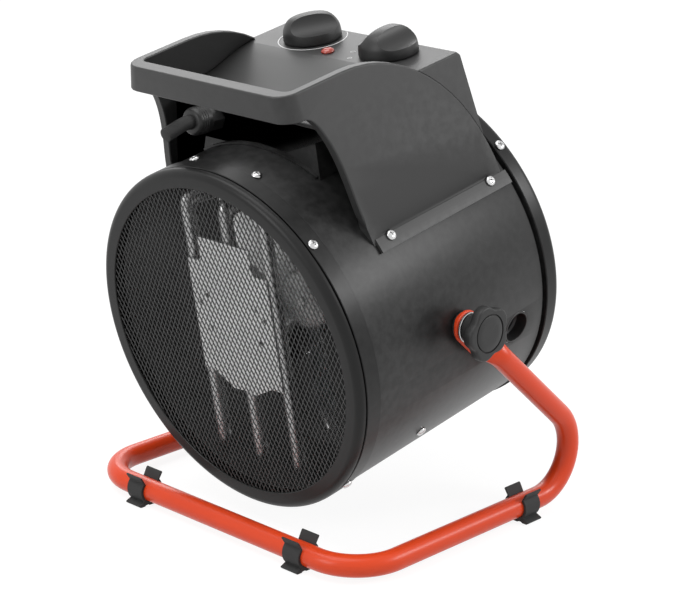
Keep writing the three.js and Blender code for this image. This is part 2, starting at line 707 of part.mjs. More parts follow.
function fanWheel() {
  const tipRadius = LINER_INSIDE - FAN_TIP_CLEARANCE;
  const shares = [0, 0.2, 0.4, 0.6, 0.75, 0.87, 0.95, 0.99];
  const blade = loft(shares.map((share) => bladeLoop(share, tipRadius)));
  const half = FAN_HUB_LENGTH / 2;
  const bore = SHAFT_RADIUS + SEAT_GAP;
  const hub = revolved(
    [
      [bore, -half],
      [FAN_HUB_RADIUS - 4, -half],
      [FAN_HUB_RADIUS, -half + 4],
      [FAN_HUB_RADIUS, half],
      [FAN_HUB_RADIUS - 3, half],
      [FAN_HUB_RADIUS - 3, -half + 5],
      [bore + 5, -half + 3],
      [bore + 5, half - 2],
      [bore, half - 2],
    ],
    24,
  );
  const blades = Array.from({ length: FAN_BLADES }, (_, i) =>
    blade.clone().rotateY(Math.PI + (2 * Math.PI * i) / FAN_BLADES),
  );
  const inside = cylinder(FAN_HUB_RADIUS - 1.5, Y, new THREE.Vector3(), -2 * half, 2 * half, 24);
  const ring = blades.reduce((all, next) => all.add(solid(next)), solid(blades[0]));
  const wheel = piece("fan", cut(ring, inside).add(solid(hub)), finishes.aluminium);
  wheel.position.y = behind(FAN_BACK);
  return wheel;
}

function motorShaft() {
  const from = FAN_BACK - FAN_HUB_LENGTH / 2 - 2;
  const to = MOTOR_BACK + SHAFT_OVERRUN;
  return piece(
    "motor_shaft",
    cylinder(SHAFT_RADIUS, Y, new THREE.Vector3(), behind(from), behind(to), 16),
    finishes.zinc,
  );
}

function motorBody() {
  const bore = SHAFT_RADIUS + SEAT_GAP;
  const bearing = 11;
  const boreEnd = 14 + SEAT_GAP;
  const profile = [
    [0, boreEnd],
    [bore, boreEnd],
    [bore, 0],
    [bearing, 0],
    [bearing, 3],
    [MOTOR_RADIUS - 6, 5],
    [MOTOR_RADIUS, 11],
    [MOTOR_RADIUS, MOTOR_LENGTH - 10],
    [MOTOR_RADIUS - 5, MOTOR_LENGTH - 4],
    [bearing, MOTOR_LENGTH - 3],
    [bearing - 2, MOTOR_LENGTH],
    [0, MOTOR_LENGTH],
  ].map(([radius, along]) => [radius, behind(MOTOR_BACK + along)]);
  return piece("motor_body", revolved(profile, 24), finishes.darkSteel);
}

// Four arms round a clamping ring, each with a foot bent along the casing.
function motorBracket() {
  const front = behind(MOTOR_BACK + MOTOR_LENGTH * 0.6);
  const flats = CASING_INSIDE * Math.cos(Math.PI / DRUM_FACETS); // radius at the middle of a facet
  const reach = Math.sqrt((flats - SEAT_GAP) ** 2 - (BRACKET_ARM_WIDTH / 2) ** 2);
  const collar = outline(arc(0, 0, MOTOR_RADIUS + 10, 0, 2 * Math.PI, 28).slice(0, -1));
  const bore = arc(0, 0, MOTOR_RADIUS + SEAT_GAP, 0, 2 * Math.PI, 28).slice(0, -1);
  collar.holes.push(new THREE.Path(bore.map(([u, v]) => new THREE.Vector2(u, v))));
  const armLength = reach - MOTOR_RADIUS - 6;
  const arm = box(BRACKET_ARM_WIDTH, BRACKET_SHEET, armLength, 0, 0, reach - armLength / 2);
  const foot = box(BRACKET_ARM_WIDTH, 14, BRACKET_SHEET, 0, 7 - BRACKET_SHEET / 2, reach - BRACKET_SHEET / 2);
  const arms = quarterTurns.flatMap((angle) => [arm.clone().rotateY(angle), foot.clone().rotateY(angle)]);
  arms.forEach((part) => part.translate(0, front + BRACKET_SHEET / 2, 0));
  const plate = join(slab(collar, "front", front, front + BRACKET_SHEET), ...arms);
  return piece("motor_bracket", plate, finishes.zinc);
}

// ---- Hood ---------------------------------------------------------------------------------------
const hoodScrewPlaces = [1, -1].flatMap((side) =>
  [HOOD_SCREW_FRONT, HOOD_SCREW_REAR].map((back) => ({ side, back, angle: side * HOOD_SCREW_ANGLE })),
);

// The hood's side view, drawn inward by an inset.
function cheekOutline(inset) {
  const top = HOOD_TOP - inset;
  const barBottom = HOOD_TOP - BAR_HEIGHT + inset;
  const low = HOOD_TOP - HOOD_ARC - 10;
  const shape = new THREE.Shape();
  shape.moveTo(behind(HOOD_FRONT) + inset, barBottom);
  shape.lineTo(behind(CHEEK_FRONT_TOP) + inset, barBottom);
  const bend = (back, drop) => [behind(CHEEK_FRONT_TOP + back) + inset, HOOD_TOP - drop];
  shape.bezierCurveTo(
    behind(CHEEK_FRONT_TOP + 7.5) + inset,
    barBottom,
    ...bend(12, BAR_HEIGHT + 10),
    ...bend(15.3, BAR_HEIGHT + 17.8),
  );
  shape.bezierCurveTo(
    ...bend(20, BAR_HEIGHT + 29),
    ...bend(22.5, BAR_HEIGHT + 42),
    ...bend(24.3, BAR_HEIGHT + 60.3),
  );
  shape.quadraticCurveTo(
    ...bend(26.2, BAR_HEIGHT + 85),
    behind(CHEEK_FRONT_LOW) + inset,
    low,
  );
  shape.lineTo(behind(HOOD_ARC_START + HOOD_ARC_BACK) - inset, low);
  shape.lineTo(behind(HOOD_ARC_START + HOOD_ARC_BACK) - inset, HOOD_TOP - HOOD_ARC);
  const centreHeight = HOOD_TOP - HOOD_ARC;
  const reach = HOOD_ARC_BACK - inset;
  shape.absellipse(behind(HOOD_ARC_START), centreHeight, reach, HOOD_ARC - inset, 0, Math.PI / 2, false);
  shape.lineTo(behind(HOOD_FRONT) + inset, top);
  return shape;
}

// Leans the two sides of an upright solid in towards each other with height, like the cheeks.
function leaned(geometry) {
  const place = geometry.attributes.position;
  for (let i = 0; i < place.count; i += 1) {
    const x = place.getX(i);
    place.setX(i, x + Math.sign(x) * HOOD_LEAN * (HOOD_TOP - place.getZ(i)));
  }
  return geometry;
}

// An upright block between the cheeks, narrower than the hood by an inset on each side.
function betweenCheeks(inset, front, rear, corner, lowest, highest) {
  const half = RIM_HALF_WIDTH - inset;
  const nose = behind(front);
  const tail = behind(rear);
  const plan = [
    [half, tail],
    [-half, tail],
    ...arc(-half + corner, nose + corner, corner, Math.PI, 1.5 * Math.PI, 5),
    ...arc(half - corner, nose + corner, corner, 1.5 * Math.PI, 2 * Math.PI, 5),
  ];
  return leaned(slab(outline(plan), "plan", lowest, highest));
}

function panelOutline(inset) {
  const flat = PANEL_TOP - inset;
  const foot = HOOD_TOP - HOOD_ARC - 10;
  return outline([
    [behind(PANEL_FRONT) + inset, foot],
    [behind(PANEL_REAR + 4) - inset, foot],
    [behind(PANEL_REAR) - inset, flat - 2],
    [behind(PANEL_REAR - 2) - inset, flat],
    [behind(PANEL_FLAT_START), flat],
    [behind(PANEL_FLAT_START - 14), flat - 2],
    [behind(PANEL_FLAT_START - 38), flat - 9.5],
    [behind(PANEL_FRONT) + inset, flat - 16.5],
  ]);
}

function drumClearance() {
  return cylinder(FLANGE_INSIDE, Y, new THREE.Vector3(), -DRUM_LENGTH, DRUM_LENGTH, DRUM_FACETS);
}

function hood() {
  const low = HOOD_TOP - HOOD_ARC - 20;
  const high = HOOD_TOP + 20;
  const wide = 2 * SKIN_RADIUS;
  const tail = DRUM_LENGTH;
  const silhouette = solid(slab(cheekOutline(0), "side", -wide, wide));
  const inside = solid(slab(cheekOutline(RIM_THICKNESS), "side", -wide, wide));
  const block = solid(betweenCheeks(0, HOOD_FRONT, tail, HOOD_CORNER, low, high)).intersect(silhouette);
  const well = betweenCheeks(RIM_WIDTH, HOOD_FRONT + BAR_DEPTH, tail + 5, 6, low - 5, high + 5);
  const outerCore = solid(betweenCheeks(HOOD_WALL, HOOD_FRONT + BAR_DEPTH, tail + 5, 6, low - 5, high + 5));
  const innerCore = solid(
    betweenCheeks(RIM_WIDTH - HOOD_WALL, HOOD_FRONT, tail + 10, 6, low - 10, high + 10),
  );
  const channel = outerCore.intersect(inside).subtract(innerCore);
  const panelRoom = outerCore.intersect(
    solid(slab(panelOutline(-SEAT_GAP), "side", -wide, wide)).add(
      solid(
        box(2 * wide, DRUM_LENGTH, HOOD_ARC, 0, behind(PANEL_REAR) + DRUM_LENGTH / 2, HOOD_TOP - HOOD_ARC),
      ),
    ),
  );
  const cheeks = cut(block, well).subtract(channel).subtract(panelRoom).subtract(solid(drumClearance()));
  const flanges = [1, -1].map((side) => {
    const reach = (CHEEK_REACH - HOOD_WALL) / (FLANGE_INSIDE * Math.hypot(1, HOOD_LEAN));
    const from = Math.asin(reach) - Math.atan(HOOD_LEAN);
    const to = CHEEK_LANDING + HOOD_FLANGE_ANGLE;
    const toward = (angle) => Math.PI / 2 - side * angle;
    const section = outline([
      ...arc(0, 0, FLANGE_OUTSIDE, toward(from), toward(to), 4),
      ...arc(0, 0, FLANGE_INSIDE, toward(to), toward(from), 4),
    ]);
    return slab(section, "front", behind(HOOD_FLANGE_START), behind(HOOD_FLANGE_END));
  });
  const whole = flanges.reduce((all, next) => all.add(solid(next)), cheeks);
  const holes = hoodScrewPlaces.flatMap(({ angle, back }) => [
    radialHole(SCREW_HOLE_RADIUS, angle, back, SKIN_RADIUS - 5, SKIN_RADIUS + 20),
    radialHole(SCREW_HEAD_RADIUS + 0.8, angle, back, FLANGE_OUTSIDE, SKIN_RADIUS + 20),
  ]);
  return piece("hood", cut(whole, ...holes), finishes.hood);
}

function controlPanel() {
  const low = HOOD_TOP - HOOD_ARC - 20;
  const wide = 2 * SKIN_RADIUS;
  const inset = HOOD_WALL + SEAT_GAP;
  const outer = solid(betweenCheeks(inset, 0, DRUM_LENGTH, 1, low, HOOD_TOP)).intersect(
    solid(slab(panelOutline(0), "side", -wide, wide)),
  );
  const hollowOutline = solid(slab(panelOutline(PANEL_SHEET), "side", -wide, wide));
  const mouthCentre = PANEL_TOP - 16.5 - PANEL_SHEET - HOOD_TOP / 2;
  const mouth = solid(box(wide, 4 * PANEL_SHEET, HOOD_TOP, 0, behind(PANEL_FRONT), mouthCentre));
  const inside = betweenCheeks(inset + PANEL_SHEET, 0, DRUM_LENGTH + 5, 1, low - 5, HOOD_TOP + 5);
  const hollow = solid(inside).intersect(
    hollowOutline.add(mouth),
  );
  const holes = [
    ...[-1, 1].map((side) =>
      cylinder(
        BUSHING_RADIUS + SEAT_GAP,
        Z,
        new THREE.Vector3(side * CONTROL_SPREAD, behind(CONTROL_BACK), 0),
        PANEL_TOP - 10,
        PANEL_TOP + 5,
        20,
      ),
    ),
    cylinder(
      LAMP_RADIUS - 1 + SEAT_GAP,
      Z,
      new THREE.Vector3(LAMP_OFFSET, behind(LAMP_BACK), 0),
      PANEL_TOP - 10,
      PANEL_TOP + 5,
      16,
    ),
  ];
  return piece("control_panel", cut(outer.subtract(hollow), drumClearance(), ...holes), finishes.hood);
}

// ---- Controls on the panel ----------------------------------------------------------------------
function switchBody(name, round) {
  const top = PANEL_TOP - PANEL_SHEET - SEAT_GAP;
  const half = SWITCH_SIZE / 2;
  const corner = round ? half - 1 : 3;
  const plan = outline(
    [0, 1, 2, 3].flatMap((quarter) => {
      const angle = (quarter * Math.PI) / 2;
      const u = (half - corner) * (quarter === 0 || quarter === 3 ? 1 : -1);
      const v = (half - corner) * (quarter < 2 ? 1 : -1);
      return arc(u, v, corner, angle, angle + Math.PI / 2, 3);
    }),
  );
  const axis = new THREE.Vector3();
  const body = join(
    slab(plan, "plan", top - SWITCH_DEPTH, top),
    cylinder(BUSHING_RADIUS, Z, axis, top - 1, PANEL_TOP + 0.4, 14),
  );
  return piece(
    name,
    cut(body, cylinder(CONTROL_SHAFT_RADIUS + SEAT_GAP, Z, axis, top - SWITCH_DEPTH / 2, PANEL_TOP + 5, 12)),
    finishes.blackPlastic,
  );
}

function controlShaft(name) {
  const from = PANEL_TOP - PANEL_SHEET - SWITCH_DEPTH / 2 + 1;
  return piece(
    name,
    cylinder(CONTROL_SHAFT_RADIUS, Z, new THREE.Vector3(), from, PANEL_TOP + CONTROL_HEIGHT - 4, 14),
    finishes.zinc,
  );
}

// A domed knob scooped from both sides, which leaves a grip rib across its top.
function controlKnob(name) {
  const base = 0.8;
  const top = CONTROL_HEIGHT;
  const profile = [
    [0, base],
    [CONTROL_RADIUS - 0.8, base],
    [CONTROL_RADIUS, base + 0.8],
    [CONTROL_RADIUS - 0.6, CONTROL_SKIRT],
    [CONTROL_RADIUS - 2, CONTROL_SKIRT + 3.5],
    [CONTROL_RADIUS - 5, CONTROL_SKIRT + 7.5],
    [CONTROL_RADIUS - 10, top - 1.6],
    [CONTROL_RADIUS - 16, top - 0.3],
    [0, top],
  ];
  const scoopRadius = 0.71 * CONTROL_RADIUS;
  const scoops = [1, -1].map((side) => {
    const middle = side * (CONTROL_GRIP_HALF_WIDTH + scoopRadius * 0.88);
    const height = CONTROL_SKIRT + 0.2 + scoopRadius;
    return cylinder(scoopRadius, Y, new THREE.Vector3(middle, 0, height), -30, 30, 36);
  });
  const dome = revolved(profile, 28).rotateX(Math.PI / 2);
  const bore = cylinder(
    CONTROL_SHAFT_RADIUS + SEAT_GAP,
    Z,
    new THREE.Vector3(),
    -1,
    CONTROL_HEIGHT - 4 + SEAT_GAP,
    14,
  );
  const knob = piece(name, cut(solid(dome), ...scoops, bore), finishes.blackPlastic);
  knob.position.z = PANEL_TOP;
  return knob;
}

function controlSet(kind, side, turn, round) {
  const group = new THREE.Group();
  group.position.set(side * CONTROL_SPREAD, behind(CONTROL_BACK), 0);
  const knob = controlKnob(`${kind}_knob`);
  knob.rotation.z = turn;
  group.add(switchBody(`${kind}_body`, round), controlShaft(`${kind}_shaft`), knob);
  return group;
}

function indicatorLamp() {
  const stem = LAMP_RADIUS - 1;
  const profile = [
    [0, -14],
    [stem, -14],
    [stem, SEAT_GAP],
    [LAMP_RADIUS, SEAT_GAP],
    [LAMP_RADIUS - 0.4, 1.6],
    [LAMP_RADIUS - 2, 2.8],
    [0, 3.2],
  ];
  const lamp = piece("indicator_lamp", revolved(profile, 16).rotateX(Math.PI / 2), finishes.lampRed);
  lamp.position.set(LAMP_OFFSET, behind(LAMP_BACK), PANEL_TOP);
  return lamp;
}

// ---- Wiring box and cable gland -----------------------------------------------------------------
// The front wall and the gland stand upright on the resting heater, so their group turns the tilt back.
const glandHeight = HOOD_TOP - GLAND_DROP;

function wiringBox() {
  const top = PANEL_TOP - BOX_TOP_DROP;
  const foot = HOOD_TOP - HOOD_ARC - 10;
  const half = (height) => BOX_TOP_HALF_WIDTH + BOX_FLARE * (top - height);
  const trapezoid = (inset, highest) =>
    outline([
      [-half(foot) + inset, foot],
      [half(foot) - inset, foot],
      [half(highest) - inset, highest],
      [-half(highest) + inset, highest],
    ]);
  const slope = Math.tan(DRUM_TILT);
  const frontAt = (height, inset) => behind(BOX_FRONT) + inset + (height - glandHeight) * slope;
  const rear = behind(BOX_FRONT + BOX_LENGTH);
  const side = (inset) =>
    outline([
      [frontAt(foot, inset), foot],
      [rear + inset, foot],
      [rear + inset, top + inset],
      [frontAt(top + inset, inset), top + inset],
    ]);
  const wide = 2 * SKIN_RADIUS;
  const outer = solid(slab(trapezoid(0, top), "front", -DRUM_LENGTH, DRUM_LENGTH)).intersect(
    solid(slab(side(0), "side", -wide, wide)),
  );
  const inner = solid(
    slab(trapezoid(BOX_SHEET, top + BOX_SHEET + 1), "front", -DRUM_LENGTH, DRUM_LENGTH),
  ).intersect(solid(slab(side(BOX_SHEET), "side", -wide, wide)));
  const reach = Math.asin(half(SKIN_RADIUS * 0.9) / SKIN_RADIUS) - 0.02;
  const lip = outline([
    ...arc(0, 0, FLANGE_INSIDE + BOX_SHEET, Math.PI / 2 - reach, Math.PI / 2 + reach, 12),
    ...arc(0, 0, FLANGE_INSIDE, Math.PI / 2 + reach, Math.PI / 2 - reach, 12),
  ]);
  const lipBack = frontAt(SKIN_RADIUS * 0.94, 0);
  const shell = outer.subtract(inner).add(solid(slab(lip, "front", lipBack - 3, lipBack + BOX_SHEET)));
  const threadHole = cylinder(GLAND_THREAD_RADIUS + SEAT_GAP, Y, new THREE.Vector3(), -10, 10, 20)
    .rotateX(-DRUM_TILT)
    .translate(GLAND_OFFSET, behind(BOX_FRONT), glandHeight);
  return piece("terminal_box", cut(shell, drumClearance(), threadHole), finishes.casing);
}

function cableGland() {
  const group = new THREE.Group();
  group.position.set(GLAND_OFFSET, behind(BOX_FRONT), glandHeight);
  group.rotation.x = -DRUM_TILT;
  const centre = new THREE.Vector3();
  const bore = cylinder(SLEEVE_RADIUS + SEAT_GAP, Y, centre, -60, 20, 14);
  const lockStart = BOX_SHEET + SEAT_GAP;
  const hexEnd = -SEAT_GAP - GLAND_HEX_LENGTH;
  const nutStart = hexEnd - SEAT_GAP;
  const nutEnd = nutStart - GLAND_NUT_LENGTH;
  const body = cut(
    join(
      cylinder(GLAND_HEX_RADIUS, Y, centre, hexEnd, -SEAT_GAP, 6).rotateY(Math.PI / 6),
      cylinder(GLAND_THREAD_RADIUS, Y, centre, nutEnd + 4, lockStart + 5, 16),
    ),
    bore,
  );
  const nut = revolved(
    [
      [SLEEVE_RADIUS + SEAT_GAP, nutEnd],
      [GLAND_NUT_RADIUS - 2, nutEnd],
      [GLAND_NUT_RADIUS, nutEnd + 2],
      [GLAND_NUT_RADIUS, nutStart],
      [GLAND_THREAD_RADIUS + SEAT_GAP, nutStart],
      [GLAND_THREAD_RADIUS + SEAT_GAP, nutEnd + 4 - SEAT_GAP],
      [SLEEVE_RADIUS + SEAT_GAP, nutEnd + 4 - SEAT_GAP],
    ],
    18,
  );
  const locknut = cut(
    solid(cylinder(GLAND_HEX_RADIUS, Y, centre, lockStart, lockStart + 4, 6).rotateY(Math.PI / 6)),
    cylinder(GLAND_THREAD_RADIUS + SEAT_GAP, Y, centre, 0, 20, 16),
  );
  const exit = nutEnd - 2;
  const sleevePath = new BentPath(
    [
      new THREE.Vector3(0, hexEnd, 0),
      new THREE.Vector3(0, exit - 4, 0),
      new THREE.Vector3(
        0,
        exit - 4 - SLEEVE_REACH * Math.cos(SLEEVE_DROOP),
        -SLEEVE_REACH * Math.sin(SLEEVE_DROOP),
      ),
    ],
    20,
    4,
  );
  group.add(
    piece("gland_body", body, finishes.blackPlastic),
    piece("gland_nut", nut, finishes.blackPlastic),
    piece("gland_locknut", locknut, finishes.blackPlastic),
    piece("cable_sleeve", roundBar(sleevePath, SLEEVE_RADIUS, 14), finishes.rubber),
  );
  return group;
}

function terminalBlock() {
  const base = SKIN_RADIUS + SEAT_GAP;
  const profile = outline([
    [-11, base],
    [11, base],
    [11, base + 8],
    [5, base + 9],
    [5, base + 15],
    [-5, base + 15],
    [-5, base + 9],
    [-11, base + 8],
  ]);
  const moulding = slab(profile, "side", -TERMINAL_BLOCK_HALF_WIDTH, TERMINAL_BLOCK_HALF_WIDTH);
  const block = piece("terminal_block", moulding, finishes.blackPlastic);
  block.position.y = behind(TERMINAL_BACK + TERMINAL_BLOCK_SETBACK);
  return block;
}

function thermalCutout() {
  const base = SKIN_RADIUS + SEAT_GAP;
  const profile = [
    [0, 0],
    [8, 0],
    [8, 5],
    [6, 7],
    [0, 7],
  ];
  const cutout = piece("thermal_cutout", revolved(profile, 20).rotateX(Math.PI / 2), finishes.aluminium);
  cutout.position.set(0, behind(TERMINAL_BACK + CUTOUT_SETBACK), base);
  return cutout;
}

// ---- Stand --------------------------------------------------------------------------------------
// The stand is one tube from end plate to end plate. Each loop of points is the tube's outline at one
// station; towards both ends the round section presses flat and then rounds off about the pivot.
function standStations() {
  const pivot = new THREE.Vector2(0, PIVOT_HEIGHT);
  const centre = new THREE.Vector2(REAR_BEND_START, RAIL_HEIGHT + REAR_BEND);
  const toPivot = pivot.clone().sub(centre);
  const tangentAngle = toPivot.angle() - Math.acos(REAR_BEND / toPivot.length());
  const armDirection = tangentAngle + Math.PI / 2;
  const turn = armDirection;
  const corner = REAR_BEND_START + REAR_BEND * Math.tan(turn / 2);
  const path = new BentPath(
    [
      new THREE.Vector3(-RAIL_SPREAD, 0, PIVOT_HEIGHT),
      new THREE.Vector3(-RAIL_SPREAD, corner, RAIL_HEIGHT),
      new THREE.Vector3(-RAIL_SPREAD, -STAND_FRONT, RAIL_HEIGHT),
      new THREE.Vector3(RAIL_SPREAD, -STAND_FRONT, RAIL_HEIGHT),
      new THREE.Vector3(RAIL_SPREAD, corner, RAIL_HEIGHT),
      new THREE.Vector3(RAIL_SPREAD, 0, PIVOT_HEIGHT),
    ],
    [0, REAR_BEND, STAND_CORNER, STAND_CORNER, REAR_BEND, 0],
    8,
  );
  return path.stations;
}

function standTube() {
  const stations = standStations();
  const sides = 10;
  const outwardOf = (tangent, x) => {
    const flat = new THREE.Vector3(tangent.y, -tangent.x, 0);
    const onSide = Math.abs(Math.abs(x) - RAIL_SPREAD) < 1e-6;
    return onSide ? new THREE.Vector3(Math.sign(x), 0, 0) : flat.normalize();
  };
  const loopAt = (point, tangent, outward, halfThick, halfWide, shift) => {
    const up = new THREE.Vector3().crossVectors(outward, tangent);
    return arc(0, 0, 1, 0, 2 * Math.PI, sides)
      .slice(0, -1)
      .map(([u, v]) => {
        const square = halfThick < TUBE_RADIUS ? 0.45 : 1;
        const thick = Math.sign(u) * Math.abs(u) ** square * halfThick + shift;
        return point.clone().addScaledVector(outward, thick).addScaledVector(up, v * halfWide);
      });
  };
  const endLoops = (pivot, tangent) => {
    const outward = new THREE.Vector3(Math.sign(pivot.x), 0, 0);
    const half = END_PLATE_THICKNESS / 2;
    const wide = END_PLATE_HALF_WIDTH;
    const rounds = [-0.985, -0.85, -0.6, -0.3, 0];
    const cap = rounds.map((share) => {
      const place = pivot.clone().addScaledVector(tangent, share * wide);
      return loopAt(place, tangent, outward, half, wide * Math.sqrt(1 - share * share), -END_PLATE_SHIFT);
    });
    const flatEnd = pivot.clone().addScaledVector(tangent, END_FLAT + wide);
    cap.push(loopAt(flatEnd, tangent, outward, half, wide, -END_PLATE_SHIFT));
    [0.3, 0.6, 0.85, 1].forEach((share) => {
      const ease = share * share * (3 - 2 * share);
      const place = flatEnd.clone().addScaledVector(tangent, share * END_FLARE);
      const thick = THREE.MathUtils.lerp(half, TUBE_RADIUS, ease);
      const width = THREE.MathUtils.lerp(wide, TUBE_RADIUS, ease);
      cap.push(loopAt(place, tangent, outward, thick, width, -END_PLATE_SHIFT * (1 - ease)));
    });
    return cap;
  };
  const first = stations[0];
  const last = stations.at(-1);
  const startLoops = endLoops(first.point, first.tangent);
  const finishLoops = endLoops(last.point, last.tangent.clone().negate()).reverse();
  const middle = stations
    .slice(1, -1)
    .map(({ point, tangent }) =>
      loopAt(point, tangent, outwardOf(tangent, point.x), TUBE_RADIUS, TUBE_RADIUS, 0),
    );
  const mirrored = finishLoops.map((loop) => {
    const [start, ...rest] = loop;
    return [start, ...rest.reverse()];
  });
  const tube = loft([...startLoops, ...middle, ...mirrored]);
  const studHole = cylinder(
    STUD_RADIUS + SEAT_GAP,
    X,
    new THREE.Vector3(0, 0, PIVOT_HEIGHT),
    -2 * RAIL_SPREAD,
    2 * RAIL_SPREAD,
    20,
  );
  return piece("stand_tube", cut(solid(tube), studHole), finishes.standPaint);
}

// A rubber clip: a ribbed foot, two arms hugging the tube and two lips flared apart at the top.
function footClip(name, x, y, along) {
  const inside = TUBE_RADIUS + SEAT_GAP;
  const outside = inside + CLIP_WALL;
  const armTop = THREE.MathUtils.degToRad(42);
  const armFoot = THREE.MathUtils.degToRad(-48);
  const lipTip = [outside * Math.cos(armTop) + 3.2, RAIL_HEIGHT + outside * Math.sin(armTop) + 5];
  const right = [
    [2, 0],
    [3.5, 0.8],
    [6, 0.8],
    [7, 0],
    [11.5, 0],
    [12.5, 1.6],
    ...arc(0, RAIL_HEIGHT, outside, armFoot, armTop, 5),
    lipTip,
    [lipTip[0] - 1.6, lipTip[1] + 0.9],
    ...arc(0, RAIL_HEIGHT, inside, armTop + 0.08, -Math.PI / 2, 6),
  ];
  const left = right
    .slice(0, -1)
    .map(([u, v]) => [-u, v])
    .reverse();
  const clip = slab(outline([...right, ...left]), "front", -CLIP_LENGTH / 2, CLIP_LENGTH / 2);
  const mesh = piece(name, clip, finishes.rubber);
  mesh.position.set(x, y, 0);
  mesh.rotation.z = along === "x" ? Math.PI / 2 : 0;
  return mesh;
}

// ---- Pivots -------------------------------------------------------------------------------------
function starOutline() {
  const points = [];
  const count = STAR_LOBES * 6;
  for (let i = 0; i < count; i += 1) {
    const angle = (2 * Math.PI * i) / count;
    const wave = 0.5 - 0.5 * Math.cos(STAR_LOBES * angle);
    const radius = STAR_RADIUS - STAR_VALLEY * (1 - wave) ** 1.6;
    points.push([radius * Math.cos(angle), radius * Math.sin(angle)]);
  }
  return outline(points);
}

function pivotSet(label, side) {
  const group = new THREE.Group();
  if (side < 0) group.rotation.z = Math.PI;
  const centre = new THREE.Vector3();
  const starFrom = CLAMP_INSIDE + KNOB_BOSS_LENGTH;
  const starTo = starFrom + STAR_THICKNESS;
  const groove = cylinder(STAR_CAP_RADIUS, X, centre, starTo - 1, starTo + 1, 20);
  const core = cylinder(STAR_CAP_RADIUS - 1, X, centre, starTo - 2, starTo + 2, 20);
  const studEnd = starFrom + 2;
  const knob = cut(
    join(
      cylinder(KNOB_BOSS_RADIUS, X, centre, CLAMP_INSIDE, starFrom + 1, 20),
      slab(starOutline(), "side", starFrom, starTo),
    ),
    cylinder(STUD_RADIUS + SEAT_GAP, X, centre, 0, studEnd + SEAT_GAP, 12),
  ).subtract(solid(groove).subtract(solid(core)));
  const stud = cylinder(STUD_RADIUS, X, centre, CASING_INSIDE - WELD_NUT_LENGTH + 1, studEnd, 12);
  group.add(
    piece(`clamp_knob_${label}`, knob, finishes.blackPlastic),
    piece(`pivot_stud_${label}`, stud, finishes.zinc),
  );
  return group;
}

function pivotDisc(name, side, radius, inside, thickness, material) {
  const centre = new THREE.Vector3();
  const disc = cut(
    solid(cylinder(radius, X, centre, inside, inside + thickness, 20)),
    cylinder(STUD_RADIUS + SEAT_GAP, X, centre, 0, inside + thickness + 5, 12),
  );
  const mesh = piece(name, disc, material);
  if (side < 0) mesh.rotation.z = Math.PI;
  return mesh;
}

// ---- Screws -------------------------------------------------------------------------------------
const screwGeometry = revolved(
  [
    [0, -SCREW_LENGTH],
    [SCREW_SHANK_RADIUS, -SCREW_LENGTH],
    [SCREW_SHANK_RADIUS, 0],
    [SCREW_HEAD_RADIUS, 0],
    [SCREW_HEAD_RADIUS * 0.8, SCREW_HEAD_HEIGHT],
    [0, SCREW_HEAD_HEIGHT],
  ],
  8,
);

function radialScrew(name, angle, back, seatRadius) {
  const mesh = piece(name, screwGeometry.clone(), finishes.zinc);
  const direction = radial(angle);
  mesh.position.copy(direction).multiplyScalar(seatRadius + SEAT_GAP);
  mesh.position.y = behind(back);
  mesh.quaternion.setFromUnitVectors(Y, direction);
  return mesh;
}

// ---- Assembly -----------------------------------------------------------------------------------
const heater = new THREE.Group();
heater.position.z = PIVOT_HEIGHT;
heater.rotation.x = DRUM_TILT;
heater.add(
  drumCasing(),
  frontRing(),
  frontMesh(),
  rearRing(),
  rearGrille(),
  heatShield(),
  elementPlate(),
  fanWheel(),
  motorShaft(),
  motorBody(),
  motorBracket(),
  hood(),
  controlPanel(),
  indicatorLamp(),
  wiringBox(),
  cableGland(),
  terminalBlock(),
  thermalCutout(),
  controlSet("thermostat", -1, THREE.MathUtils.degToRad(-32), false),
  controlSet("mode_switch", 1, 0, true),
);
["left", "centre", "right"].forEach((label, i) => {
  const [inner, straight] = [terminalPlaces[2 * i], terminalPlaces[2 * i + 1]];
  heater.add(heatingElement(`heating_element_${label}`, elementPlaces[i], inner, straight));
});
[
  ["right", 1],
  ["left", -1],
].forEach(([label, side], i) => {
  const spacerInside = SKIN_RADIUS + SEAT_GAP;
  heater.add(
    sideCup(`side_cup_${label}`, cupPlaces[i]),
    pivotDisc(`pivot_spacer_${label}`, side, SPACER_RADIUS, spacerInside, SPACER_THICKNESS, finishes.blackPlastic),
    pivotSet(label, side),
    radialScrew(`casing_screw_${label}`, side * TOP_SCREW_ANGLE, TOP_SCREW_BACK, SKIN_RADIUS),
  );
});
quarterTurns.forEach((angle, i) => {
  heater.add(
    radialScrew(`front_ring_screw_${i + 1}`, angle, RING_SCREW_BACK, BAND_OUTSIDE),
    radialScrew(`rear_ring_screw_${i + 1}`, angle, DRUM_LENGTH - REAR_SCREW_INSET, BAND_OUTSIDE),
  );
});
hoodScrewPlaces.forEach(({ angle, back }, i) => {
  heater.add(radialScrew(`hood_screw_${i + 1}`, angle, back, FLANGE_OUTSIDE));
});

const stand = new THREE.Group();
stand.add(
  standTube(),
  footClip("foot_clip_front_left", -FRONT_CLIP_SPREAD, -STAND_FRONT, "x"),
  footClip("foot_clip_front_right", FRONT_CLIP_SPREAD, -STAND_FRONT, "x"),
  footClip("foot_clip_side_left", -RAIL_SPREAD, SIDE_CLIP_BACK, "y"),
  footClip("foot_clip_side_right", RAIL_SPREAD, SIDE_CLIP_BACK, "y"),
);
["right", "left"].forEach((label, i) => {
  const washer = pivotDisc(
    `pivot_washer_${label}`,
    i === 0 ? 1 : -1,
    WASHER_RADIUS,
    WASHER_INSIDE,
    WASHER_THICKNESS,
    finishes.zinc,
  );
  washer.position.z = PIVOT_HEIGHT;
  stand.add(washer);
});

const forcedAirHeater = new THREE.Group();
forcedAirHeater.add(stand, heater);

export default forcedAirHeater;
